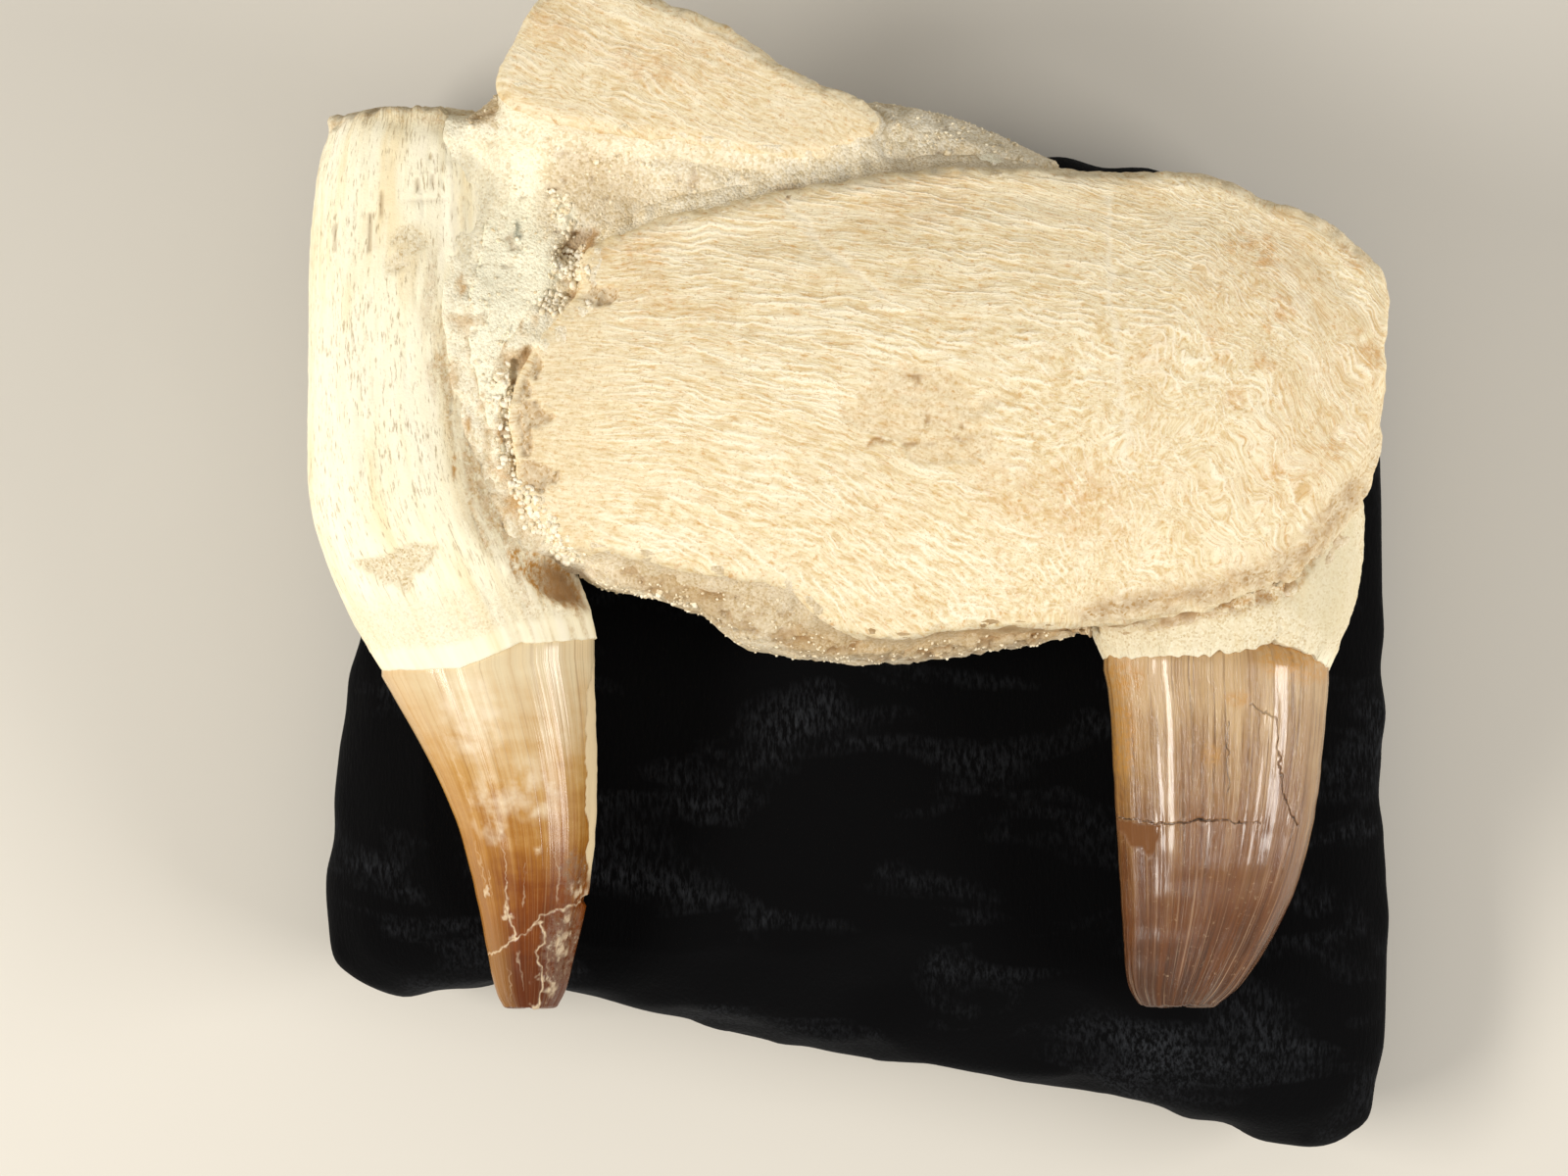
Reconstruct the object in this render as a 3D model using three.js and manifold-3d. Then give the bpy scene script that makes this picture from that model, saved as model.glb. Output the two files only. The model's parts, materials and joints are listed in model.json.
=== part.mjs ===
// A fossil mosasaur jaw lying on its back on a velvet display cushion: two rooted teeth and two
// pieces of jaw bone, held together by sandstone.
//
// Units are millimetres. +X runs along the jaw, +Y from the tips of the teeth to the top edge of
// the jaw, and +Z up, out of the face that shows. The origin is the middle of the cushion's base.
//
// Every piece is a stack of closed rings. A bone, the sandstone and the cushion are one outline
// shrunk towards a heart point, first over the front and then over the back. A tooth's rings
// follow it from its root to its worn tip. Where two pieces meet, the softer one is cut by a
// slightly grown copy of the harder one.

import * as THREE from "three";
import { mergeVertices } from "three/addons/utils/BufferGeometryUtils.js";
import Module from "manifold-3d";

const wasm = await Module();
wasm.setup();

// ---- Driving dimensions ------------------------------------------------------------------------

const REST_HEIGHT = 26; // the fossil's back above the table
const CONTACT_GAP = 0.35; // left between two pieces that touch

// Where the fossil's own origin lies over the cushion's
const FOSSIL_PLACE = new THREE.Vector3(3.5, 2.9, REST_HEIGHT);

const CUSHION = {
  seamHeight: 12,
  topHeight: REST_HEIGHT - CONTACT_GAP,
  baseShare: 0.8, // of the outline, where the cushion lies flat on the table
  topShare: 0.62, // of the outline, where the fossil presses it flat
};

// Heights of the fossil are measured from its back. rimDrop is how far a face turns down at its rim.
const JAW = { crest: 33, back: 13, rimDrop: 1.3, cornerDrop: 2.2 }; // more at its lower right corner
const UPPER_BONE = { crest: 27, back: 10, rimDrop: 1.2 };
const SANDSTONE = {
  sunk: 2.1, // below the faces of the bones
  back: 0.4,
  rimDrop: 4.5,
  bank: 2.8, // up against the left root
  underEdge: 2.8, // lower still along the jaw's bottom edge
};
const ROOT_SIDES = 26;
const CROWN_SIDES = 28;

// Shrunken copies of an outline: over the front out to the rim, and over the back to the middle
const FRONT_STEPS = [0.2, 0.42, 0.62, 0.78, 0.9, 0.97, 1];
const BACK_STEPS = [1, 0.88, 0.62, 0.3];

// ---- Outlines, as [x, y], clockwise from the left -----------------------------------------------

const JAW_HEART = [8, 27];
const JAW_OUTLINE = [
  [-38.1, 44.6], [-33.0, 47.4], [-23.1, 50.4], [-13.1, 51.9], [-3.1, 53.9], [6.9, 55.4],
  [16.9, 55.3], [24.1, 54.8], [31.9, 54.7], [41.9, 53.9], [48.1, 51.3], [54.4, 49.4],
  [60.0, 45.2], [62.6, 42.4], [62.8, 35.1], [62.2, 23.9], [61.1, 15.3], [57.1, 9.4],
  [51.9, 3.1], [41.9, -0.3], [31.9, -1.5], [24.4, -1.8], [16.9, -1.9], [7.8, -2.4],
  [-0.6, -3.9], [-7.1, -2.1], [-12.1, 1.9], [-17.1, 3.9], [-25.3, 4.7], [-31.5, 6.4],
  [-39.4, 7.6], [-43.3, 9.7], [-45.2, 12.9], [-46.7, 17.6], [-47.1, 22.6], [-46.8, 27.6],
  [-45.3, 31.4], [-42.3, 35.8], [-38.6, 40.2],
];

const UPPER_HEART = [-27, 66];
const UPPER_OUTLINE = [
  [-49.1, 65.5], [-47.6, 70.1], [-45.3, 74.5], [-42.9, 77.6], [-38.1, 78.4], [-31.9, 77.4],
  [-25.6, 75.1], [-20.4, 72.9], [-15.4, 69.6], [-10.4, 66.7], [-5.6, 65.0], [-1.2, 62.0],
  [-3.2, 59.0], [-8.1, 57.2], [-18.1, 57.8], [-25.6, 59.0], [-33.1, 59.8], [-39.4, 60.9],
  [-45.2, 62.3],
];

const SANDSTONE_HEART = [0, 25];
const SANDSTONE_OUTLINE = [
  [-50.2, 64.4], [-47.4, 68.6], [-44.2, 73.6], [-41.0, 75.9], [-32.2, 75.4], [-21.2, 71.2],
  [-11.4, 65.9], [-4.0, 64.9], [3.1, 63.6], [10.8, 61.8], [18.9, 57.8], [24.1, 55.3],
  [31.9, 53.2], [43.1, 51.6], [53.0, 46.8], [60.6, 40.5], [60.9, 25.0], [59.4, 14.6],
  [53.0, 3.4], [41.9, -1.9], [31.0, -2.9], [24.0, -3.2], [16.1, -4.6], [6.3, -6.4],
  [-5.4, -6.7], [-15.8, -5.4], [-19.9, -4.0], [-22.1, -1.5], [-27.3, 0.7], [-31.9, 1.9],
  [-36.6, 2.9], [-40.3, 6.0], [-43.6, 9.0], [-47.4, 15.0], [-51.4, 25.0], [-53.8, 40.0],
  [-54.6, 57.0], [-53.2, 62.4],
];

// The seam of the cushion, square with soft corners, pulled a little out of true
const CUSHION_OUTLINE = [
  [-70.8, -30.0], [-70.5, -12.9], [-69.3, 3.5], [-68.3, 31.7], [-67.9, 52.9], [-65.1, 63.9],
  [-57.0, 68.5], [-34.5, 67.5], [-4.5, 65.5], [25.3, 63.2], [44.4, 59.8], [56.0, 55.1],
  [64.5, 47.9], [69.1, 35.9], [69.9, 18.6], [70.3, -17.1], [71.1, -47.1], [70.9, -59.1],
  [68.1, -67.0], [61.4, -69.5], [49.4, -67.7], [26.9, -64.0], [-11.7, -58.0], [-35.8, -53.3],
  [-48.4, -51.8], [-61.4, -50.9], [-68.5, -47.0], [-70.7, -40.5],
];

// ---- Teeth, as stations along each one ----------------------------------------------------------
// left and right are the two sides as [x, y], mid is the height of the middle, half the half depth.

const LEFT_ROOT = [
  { left: [-67.6, 64.6], right: [-52.2, 65.8], mid: 15, half: 8.2 },
  { left: [-70.6, 63.0], right: [-50.2, 64.0], mid: 15, half: 11.2 },
  { left: [-72.6, 58.2], right: [-49.4, 58.6], mid: 15, half: 12.9 },
  { left: [-73.4, 51.4], right: [-49.1, 52.0], mid: 15, half: 13.4 },
  { left: [-73.9, 37.6], right: [-48.5, 37.6], mid: 15, half: 13.8 },
  { left: [-74.1, 23.9], right: [-47.1, 23.9], mid: 15, half: 14.2 },
  { left: [-74.0, 13.6], right: [-44.6, 14.5], mid: 15, half: 14.5 },
  { left: [-72.3, 6.8], right: [-40.9, 8.2], mid: 14.6, half: 14.1 },
  { left: [-69.1, -0.5], right: [-38.9, 1.6], mid: 13.8, half: 13.1 },
  { left: [-66.0, -6.6], right: [-37.6, -3.9], mid: 13.0, half: 12.2 },
];

const LEFT_CROWN = [
  { left: [-65.3, -7.4], right: [-37.6, -4.6], mid: 12.9, half: 11.7 },
  { left: [-62.6, -12.6], right: [-37.2, -10.5], mid: 12.6, half: 11.3 },
  { left: [-58.6, -19.9], right: [-37.0, -18.0], mid: 12.0, half: 10.4 },
  { left: [-55.4, -27.1], right: [-37.1, -25.5], mid: 11.2, half: 9.3 },
  { left: [-53.3, -34.9], right: [-37.7, -33.0], mid: 10.2, half: 8.0 },
  { left: [-51.9, -42.1], right: [-39.1, -39.9], mid: 9.1, half: 6.5 },
  { left: [-50.7, -48.6], right: [-41.0, -47.6], mid: 8.2, half: 5.0 },
  { left: [-49.8, -51.8], right: [-42.1, -51.5], mid: 7.8, half: 4.0 },
  { left: [-48.6, -52.9], right: [-43.1, -52.9], mid: 7.7, half: 2.9 },
];

const RIGHT_ROOT = [
  { left: [30.0, 22.6], right: [58.4, 22.0], mid: 12.6, half: 9.0 },
  { left: [28.0, 19.4], right: [60.4, 18.6], mid: 12.6, half: 11.0 },
  { left: [26.4, 12.4], right: [61.7, 12.6], mid: 12.6, half: 12.0 },
  { left: [25.2, 5.6], right: [61.5, 6.4], mid: 12.6, half: 12.2 },
  { left: [24.9, 0.6], right: [60.4, 0.0], mid: 12.6, half: 12.1 },
  { left: [26.3, -3.6], right: [58.0, -4.6], mid: 12.6, half: 11.8 },
  { left: [27.6, -5.7], right: [57.1, -7.4], mid: 12.6, half: 11.5 },
];

const RIGHT_CROWN = [
  { left: [27.9, -6.5], right: [56.8, -8.2], mid: 12.6, half: 11.2 },
  { left: [28.9, -11.4], right: [56.5, -13.2], mid: 12.4, half: 11.1 },
  { left: [29.3, -18.6], right: [55.9, -20.3], mid: 11.9, half: 10.5 },
  { left: [29.9, -27.4], right: [54.9, -28.5], mid: 11.1, half: 9.5 },
  { left: [30.5, -35.5], right: [52.8, -36.4], mid: 10.1, half: 8.2 },
  { left: [30.9, -42.4], right: [49.9, -43.0], mid: 9.1, half: 6.8 },
  { left: [31.3, -48.4], right: [46.3, -48.8], mid: 8.3, half: 5.3 },
  { left: [32.0, -51.4], right: [43.4, -51.8], mid: 7.9, half: 4.3 },
  { left: [33.4, -52.7], right: [41.3, -52.8], mid: 7.8, half: 3.2 },
];

// ---- Small helpers -----------------------------------------------------------------------------

const { lerp, smoothstep } = THREE.MathUtils;

// An uneven surface: rises and falls between -1 and 1 about once every period millimetres.
function swell(x, y, period) {
  const k = (2 * Math.PI) / period;
  const bent = x * k + 1.7 * Math.sin((y * k) / 1.6);
  const crossed = (y * k) / 1.2 + 1.4 * Math.sin((x * k) / 1.9 + 0.8);
  return Math.sin(bent) * Math.cos(crossed);
}

// 1 in the middle of an oval, falling to 0 at its edge.
function inOval(x, y, { at, across, along }) {
  const reach = Math.hypot((x - at[0]) / across, (y - at[1]) / along);
  return 1 - smoothstep(reach, 0.55, 1);
}

// A smooth closed line through the points, turned to run anticlockwise. It has two steps for each
// point, so that it bends most finely where the points lie close together.
function closedLine(points) {
  const corners = points.toReversed().map(([x, y]) => new THREE.Vector3(x, y, 0));
  const line = new THREE.CatmullRomCurve3(corners, true, "centripetal");
  return line.getPoints(2 * points.length).slice(0, -1);
}

// A closed surface over a stack of rings of equal length, with a fan over each end.
function skinOver(rings) {
  const count = rings[0].length;
  const middleOf = (ring) =>
    ring.reduce((sum, p) => sum.add(p), new THREE.Vector3()).divideScalar(count);
  const points = [...rings.flat(), middleOf(rings[0]), middleOf(rings.at(-1))];
  const firstMiddle = points.length - 2;
  const lastRing = (rings.length - 1) * count;
  const faces = [];
  for (let i = 0; i < count; i++) {
    const next = (i + 1) % count;
    faces.push(firstMiddle, i, next);
    for (let start = 0; start < lastRing; start += count) {
      const [a, b, c, d] = [start + i, start + next, start + count + i, start + count + next];
      faces.push(a, c, d, a, d, b);
    }
    faces.push(lastRing + i, firstMiddle + 1, lastRing + next);
  }
  const geometry = new THREE.BufferGeometry().setFromPoints(points);
  geometry.setIndex(faces);
  return geometry;
}

function toSolid(geometry) {
  const merged = mergeVertices(geometry, 1e-4);
  return new wasm.Manifold(
    new wasm.Mesh({
      numProp: 3,
      vertProperties: merged.attributes.position.array,
      triVerts: new Uint32Array(merged.index.array),
    }),
  );
}

// The largest piece of a solid, as a geometry: a cut can leave chips too small to matter.
function toGeometry(solid) {
  const [largest] = solid.decompose().sort((a, b) => b.volume() - a.volume());
  const mesh = largest.getMesh();
  const geometry = new THREE.BufferGeometry();
  const place = new Float32Array(mesh.numVert * 3);
  for (let i = 0; i < mesh.numVert; i++)
    place.set(mesh.vertProperties.subarray(i * mesh.numProp, i * mesh.numProp + 3), i * 3);
  geometry.setAttribute("position", new THREE.BufferAttribute(place, 3));
  geometry.setIndex(new THREE.BufferAttribute(mesh.triVerts, 1));
  geometry.computeVertexNormals();
  return geometry;
}

// ---- Plates: the bones, the sandstone and the cushion -------------------------------------------

// Rings over the front from the heart to the rim, then over the back from the rim to the heart.
// front and back give a height for (x, y, share), where share is 1 at the rim; grow widens all.
function plateRings(plate, grow = 0) {
  const { outline, heart, front, back, frontSteps = FRONT_STEPS, backSteps = BACK_STEPS } = plate;
  const ringAt = (share, height) =>
    outline.map((p) => {
      const [dx, dy] = [p.x - heart[0], p.y - heart[1]];
      const reach = share * (1 + grow / Math.hypot(dx, dy));
      const [x, y] = [heart[0] + dx * reach, heart[1] + dy * reach];
      return new THREE.Vector3(x, y, height(x, y, share));
    });
  return [
    ...frontSteps.map((share) => ringAt(share, (x, y, s) => front(x, y, s) + grow)),
    ...backSteps.map((share) => ringAt(share, (x, y, s) => back(x, y, s) - grow)),
  ];
}

// The dent that a patch of lost surface leaves in the jaw's face.
const LOST_PATCH = { at: [5.6, 25.4], across: 10.5, along: 6.5, depth: 0.9 };

// The jaw's face: highest along its middle, falling to both edges and round the far end.
function jawFace(x, y) {
  const bulge = 6.5 * ((y - 27) / 30) ** 2;
  const farEnd = 8.5 * smoothstep(x, 38, 66) ** 1.5;
  const nearEnd = 5.5 * smoothstep(-x, 8, 48);
  const dent = LOST_PATCH.depth * inOval(x, y, LOST_PATCH);
  return JAW.crest - bulge - farEnd - nearEnd - dent + 0.35 * swell(x, y, 19);
}

// The upper bone's face: a slope down to its pointed end.
function upperFace(x, y) {
  const slope = 0.1 * (x + 27) + 0.06 * (y - 66);
  return UPPER_BONE.crest - slope + 0.4 * swell(x, y, 15);
}

const jawPlate = {
  outline: closedLine(JAW_OUTLINE),
  heart: JAW_HEART,
  front: (x, y, share) => {
    const rim = JAW.rimDrop * smoothstep(share, 0.93, 1.02);
    const corner = JAW.cornerDrop * smoothstep(x - y, 26, 46) * smoothstep(share, 0.84, 1.03);
    return jawFace(x, y) - rim - corner + 0.25 * swell(x, y, 7) * share;
  },
  back: (x, y, share) => JAW.back + 2.2 * share + 0.5 * swell(x, y, 12),
};

const upperPlate = {
  outline: closedLine(UPPER_OUTLINE),
  heart: UPPER_HEART,
  frontSteps: [0.3, 0.6, 0.84, 0.96, 1],
  front: (x, y, share) =>
    upperFace(x, y) - UPPER_BONE.rimDrop * smoothstep(share, 0.88, 1.03) ** 1.5,
  back: (x, y, share) => UPPER_BONE.back + 2 * share + 0.5 * swell(x, y, 11),
};

// The sandstone's face: nearly flush with the bones that it holds, banked up against the left
// root, and lower where the jaw's edge stands clear of it.
function sandstoneFace(x, y) {
  const level = lerp(jawFace(x, y), upperFace(x, y), smoothstep(y, 54, 62)) - SANDSTONE.sunk;
  const bank = SANDSTONE.bank * smoothstep(-x, 44, 54) * (1 - smoothstep(y, 56, 64));
  const underEdge = SANDSTONE.underEdge * smoothstep(x, -4, 12) * smoothstep(-y, -2, 3);
  const lumps = 0.35 * swell(x, y, 8.5) + 0.25 * swell(y, x, 4.6);
  return level + bank - underEdge + lumps;
}

const sandstonePlate = {
  outline: closedLine(SANDSTONE_OUTLINE),
  heart: SANDSTONE_HEART,
  frontSteps: [0.3, 0.55, 0.74, 0.87, 0.95, 1],
  backSteps: [1, 0.93, 0.82, 0.5],
  front: (x, y, share) => {
    const byRoot = smoothstep(-x, 41, 48) * (1 - smoothstep(y, 58, 64));
    const rim = SANDSTONE.rimDrop * smoothstep(share, 0.92, 1.03) ** 1.4;
    return sandstoneFace(x, y) - rim * (1 - byRoot);
  },
  back: (x, y, share) => {
    const chipped = Math.max(0, swell(x, y, 17)) * 1.6;
    return SANDSTONE.back + chipped + 6.5 * smoothstep(share, 0.82, 1.03);
  },
};

// A share of the way from a flat middle to the seam, swelling as a stuffed cover does.
function cushionBulge(share, flatShare) {
  const t = Math.min(1, Math.max(0, (share - flatShare) / (1 - flatShare)));
  return 1 - Math.sqrt(Math.max(0, 1 - t * t));
}

const cushionPlate = {
  outline: closedLine(CUSHION_OUTLINE),
  heart: [0, 0],
  frontSteps: [CUSHION.topShare, 0.74, 0.84, 0.92, 0.97, 1],
  backSteps: [1, 0.96, 0.89, CUSHION.baseShare],
  front: (x, y, share) =>
    lerp(CUSHION.topHeight, CUSHION.seamHeight + 0.3, cushionBulge(share, CUSHION.topShare)),
  back: (x, y, share) =>
    lerp(0, CUSHION.seamHeight, cushionBulge(share, CUSHION.baseShare)),
};

// ---- Teeth -------------------------------------------------------------------------------------

// A value of the stations, read smoothly at a share of the way from the first to the last.
function alongStations(stations, share, read) {
  const values = stations.map((station) => new THREE.Vector3(read(station), 0, 0));
  return new THREE.CatmullRomCurve3(values, false, "catmullrom", 0.5).getPoint(share).x;
}

// Rings round a tooth. relief adds to the radius for (share, angle), where angle 0 is its right.
function toothRings(stations, { count, sides, relief = () => 0 }, grow = 0) {
  return Array.from({ length: count }, (_, ring) => {
    const share = ring / (count - 1);
    const read = (pick) => alongStations(stations, share, pick);
    const left = new THREE.Vector2(read((s) => s.left[0]), read((s) => s.left[1]));
    const right = new THREE.Vector2(read((s) => s.right[0]), read((s) => s.right[1]));
    const [mid, half] = [read((s) => s.mid), read((s) => s.half)];
    const axis = left.clone().add(right).multiplyScalar(0.5);
    const across = right.clone().sub(axis);
    const halfWidth = across.length();
    across.normalize();
    const pushed = (ring === 0 ? grow : 0) - (ring === count - 1 ? grow : 0);
    return Array.from({ length: sides }, (_, i) => {
      const angle = -(i / sides) * 2 * Math.PI;
      const extra = relief(share, angle) + grow;
      const out = Math.cos(angle) * (halfWidth + extra);
      const up = Math.sin(angle) * (half + extra);
      // across turned a quarter towards the root, to push the two end rings outwards
      const [nx, ny] = [-across.y, across.x];
      return new THREE.Vector3(
        axis.x + across.x * out + nx * pushed,
        axis.y + across.y * out + ny * pushed,
        mid + up,
      );
    });
  });
}

// Enamel runs in shallow flats from the root to the tip, with a keel down each side of the tooth.
const FLATS = 9;
const KEEL = { height: 0.55, sharpness: 14 };

function enamelRelief(share, angle) {
  const flats = -0.22 * Math.abs(Math.sin((FLATS * angle) / 2)) * (1 - share);
  const keel = KEEL.height * Math.abs(Math.cos(angle)) ** KEEL.sharpness;
  return flats + keel * (1 - 0.4 * share) - KEEL.height * 0.6;
}

// Roots are lumpy, and the left one ends in a ragged break.
function rootRelief(share, angle) {
  const lumps = 0.35 * swell(share * 60, angle * 14, 16);
  const broken = share < 0.16 ? 0.7 * Math.sin(5 * angle + 1) * (1 - share / 0.16) : 0;
  return lumps + broken;
}

const rootForm = { count: 15, sides: ROOT_SIDES, relief: rootRelief };
const stubForm = { count: 7, sides: ROOT_SIDES, relief: rootRelief };
const crownForm = { count: 16, sides: CROWN_SIDES, relief: enamelRelief };

const solidPlate = (plate, grow) => toSolid(skinOver(plateRings(plate, grow)));
const solidTooth = (stations, form, grow) => toSolid(skinOver(toothRings(stations, form, grow)));

// ---- Pieces ------------------------------------------------------------------------------------

const leftRoot = solidTooth(LEFT_ROOT, rootForm);
const rightRoot = solidTooth(RIGHT_ROOT, stubForm);
const leftCrown = solidTooth(LEFT_CROWN, crownForm);
const rightCrown = solidTooth(RIGHT_CROWN, crownForm);

const leftRootRoom = solidTooth(LEFT_ROOT, rootForm, CONTACT_GAP);
const rightRootRoom = solidTooth(RIGHT_ROOT, stubForm, CONTACT_GAP);

const jawBone = solidPlate(jawPlate).subtract(leftRootRoom).subtract(rightRootRoom);
const upperBone = solidPlate(upperPlate).subtract(leftRootRoom);

const sandstone = solidPlate(sandstonePlate)
  .subtract(solidPlate(jawPlate, CONTACT_GAP))
  .subtract(solidPlate(upperPlate, CONTACT_GAP))
  .subtract(leftRootRoom)
  .subtract(rightRootRoom);

const finishes = {
  jawBone: new THREE.MeshStandardMaterial({ color: "#efdeb6", roughness: 0.8 }),
  rootBone: new THREE.MeshStandardMaterial({ color: "#f4ecca", roughness: 0.75 }),
  sandstone: new THREE.MeshStandardMaterial({ color: "#dfcda6", roughness: 0.95 }),
  amberEnamel: new THREE.MeshStandardMaterial({ color: "#b9854c", roughness: 0.3 }),
  brownEnamel: new THREE.MeshStandardMaterial({ color: "#8f6a4a", roughness: 0.3 }),
  velvet: new THREE.MeshStandardMaterial({ color: "#0a0a0b", roughness: 1 }),
};

function piece(name, geometry, finish) {
  const mesh = new THREE.Mesh(geometry, finish);
  mesh.name = name;
  return mesh;
}

const fossil = new THREE.Group();
fossil.position.copy(FOSSIL_PLACE);
fossil.add(
  piece("jaw_bone", toGeometry(jawBone), finishes.jawBone),
  piece("upper_bone", toGeometry(upperBone), finishes.jawBone),
  piece("sandstone", toGeometry(sandstone), finishes.sandstone),
  piece("left_root", toGeometry(leftRoot), finishes.rootBone),
  piece("left_crown", toGeometry(leftCrown), finishes.amberEnamel),
  piece("right_root", toGeometry(rightRoot), finishes.rootBone),
  piece("right_crown", toGeometry(rightCrown), finishes.brownEnamel),
);

const specimen = new THREE.Group();
specimen.add(fossil, piece("cushion", skinOver(plateRings(cushionPlate)), finishes.velvet));

export default specimen;
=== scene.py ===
"""A fossil mosasaur jaw lying on a black velvet cushion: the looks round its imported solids.

Sizes are in millimetres until a mesh is written, and a place is [x, y] or [x, y, z] in the frame,
whose origin is the middle of the cushion's base. +X runs along the jaw, +Y from the tips of the
teeth to the jaw's top edge, and +Z up, out of the face that shows.
"""

import json
import math

import bmesh
import bpy
import numpy as np
from bpy.props import FloatProperty, FloatVectorProperty, IntProperty, PointerProperty
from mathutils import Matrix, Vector
from mathutils.bvhtree import BVHTree

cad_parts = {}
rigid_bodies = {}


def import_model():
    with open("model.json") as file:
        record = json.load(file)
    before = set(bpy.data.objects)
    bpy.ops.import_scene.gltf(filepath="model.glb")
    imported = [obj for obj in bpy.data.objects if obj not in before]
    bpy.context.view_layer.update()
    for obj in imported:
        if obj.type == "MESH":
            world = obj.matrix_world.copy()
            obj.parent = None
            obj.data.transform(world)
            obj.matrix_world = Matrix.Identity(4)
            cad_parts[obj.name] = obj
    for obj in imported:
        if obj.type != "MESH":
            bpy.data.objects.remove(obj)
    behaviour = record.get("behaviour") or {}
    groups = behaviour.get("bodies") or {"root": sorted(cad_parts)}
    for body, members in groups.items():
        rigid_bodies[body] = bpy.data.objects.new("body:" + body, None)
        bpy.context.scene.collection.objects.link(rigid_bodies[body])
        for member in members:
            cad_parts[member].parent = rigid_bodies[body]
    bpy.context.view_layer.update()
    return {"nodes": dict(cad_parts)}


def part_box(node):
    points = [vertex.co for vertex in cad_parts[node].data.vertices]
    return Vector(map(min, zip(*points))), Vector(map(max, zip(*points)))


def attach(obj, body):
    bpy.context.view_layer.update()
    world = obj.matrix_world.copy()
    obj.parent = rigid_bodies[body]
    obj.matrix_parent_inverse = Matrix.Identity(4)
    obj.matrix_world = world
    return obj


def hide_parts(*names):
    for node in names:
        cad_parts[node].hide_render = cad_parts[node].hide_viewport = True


bl_info = {
    "name": "Fossil Mosasaur Jaw",
    "version": (1, 0, 0),
    "blender": (4, 5, 0),
    "location": "3D View > Sidebar > Fossil",
    "description": "Dresses a fossil jaw, its teeth, its sandstone and its velvet cushion",
    "category": "Object",
}

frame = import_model()
MM = 0.001
# Rays that look down start at this height, in millimetres, over everything.
OVERHEAD = 200


def linear(hex_colour):
    """An sRGB hex colour as linear red, green and blue."""
    parts = [int(hex_colour[i : i + 2], 16) / 255 for i in (1, 3, 5)]
    return tuple(p / 12.92 if p <= 0.04045 else ((p + 0.055) / 1.055) ** 2.4 for p in parts)


# ---- What a user would change ------------------------------------------------------------------


def colour_of(name, description, hex_colour):
    return FloatVectorProperty(
        name=name, description=description, subtype="COLOR", min=0, max=1, default=linear(hex_colour)
    )


def length_of(name, description, millimetres):
    return FloatProperty(
        name=name, description=description, unit="LENGTH", min=0, precision=5, default=millimetres * MM
    )


class BoneLook(bpy.types.PropertyGroup):
    face: length_of("Bone face", "Width of a face on the bones' front", 0.34)
    ridge: length_of("Ridge height", "How far the bone's fibres stand out", 0.09)
    ridge_colour: colour_of("Ridge", "Tops of the bone's fibres", "#fdf3da")
    body_colour: colour_of("Bone", "Bone between the ridges", "#eddeb9")
    groove_colour: colour_of("Groove", "Tan bands in the grooves", "#d6b987")
    stain_colour: colour_of("Stain", "Iron stain in the bone", "#cd964c")
    root_colour: colour_of("Root", "Chalky root bone", "#faf3d8")
    pore_colour: colour_of("Pore", "Open pores of the roots", "#a98d5e")


class StoneLook(bpy.types.PropertyGroup):
    face: length_of("Stone face", "Width of a face on the sandstone", 0.5)
    grain: length_of("Grain", "Width of a loose sand grain", 0.5)
    grains: FloatProperty(
        name="Grains", description="Loose grains for each square centimetre", min=0, default=60
    )
    seed: IntProperty(name="Seed", description="Which scatter of grains is made", default=7)
    sand_colour: colour_of("Sand", "Pale body of the sandstone", "#efe3c8")
    dusk_colour: colour_of("Dusk", "Greyer, pinker patches of the sandstone", "#d8c4a2")
    # The pit colour also paints shade: in the crevices, the joints, the hollow and the lower band's crumbs.
    pit_colour: colour_of("Pit", "Red-brown pits between the grains", "#9a7446")


class EnamelLook(bpy.types.PropertyGroup):
    striation: length_of("Striation", "Width of the fine lines along the crowns", 0.35)
    crack: length_of("Crack", "Half width of the larger cracks", 0.13)
    gloss: FloatProperty(
        name="Roughness", description="Roughness of clean enamel", subtype="FACTOR", min=0, max=1,
        default=0.24,
    )


class CushionLook(bpy.types.PropertyGroup):
    face: length_of("Cloth face", "Width of a face when the cushion is filled", 4)
    pressure: FloatProperty(name="Filling", description="How hard the filling pushes", min=0, default=4)
    movement: length_of("Swelling", "Farthest that the filling moves the cover", 5)
    pucker: length_of("Pucker", "Depth of the gathers along the seam", 0.9)
    pile_colour: colour_of("Pile", "Velvet seen along its pile", "#070708")
    sheen_colour: colour_of("Sheen", "Light caught on the tips of the pile", "#8f9298")


class StageLook(bpy.types.PropertyGroup):
    floor_colour: colour_of("Floor", "The plain floor", "#dcd8d0")
    distance: length_of("Camera distance", "From the camera to the middle of the fossil", 650)
    view_width: length_of("View width", "How much the picture's width takes in there", 200)


def look(name):
    return getattr(bpy.context.scene, name)


# ---- Random values that are the same each run --------------------------------------------------


def lattice(cells, seed):
    """A fixed random value from -1 to 1 for each whole-numbered cell."""
    x, y, z = cells.astype(np.int64).T
    n = (x * 73856093) ^ (y * 19349663) ^ (z * 83492791) ^ (seed * 374761393)
    n = ((n ^ (n >> 13)) * 1274126177) & 0x7FFFFFFF
    n = ((n ^ (n >> 15)) * 668265263) & 0x7FFFFFFF
    return (n & 0xFFFF) / 32767.5 - 1


def noise(points, size, seed=0):
    """Smooth random values between -1 and 1 that change over size, one length or one for each axis.

    size may also hold a row of lengths for each point.
    """
    scaled = points / size
    cell = np.floor(scaled)
    part = scaled - cell
    part = part * part * (3 - 2 * part)
    total = np.zeros(len(points))
    for corner in np.ndindex(2, 2, 2):
        weight = np.prod(np.where(corner, part, 1 - part), axis=1)
        total += weight * lattice(cell + corner, seed)
    return total


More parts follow.
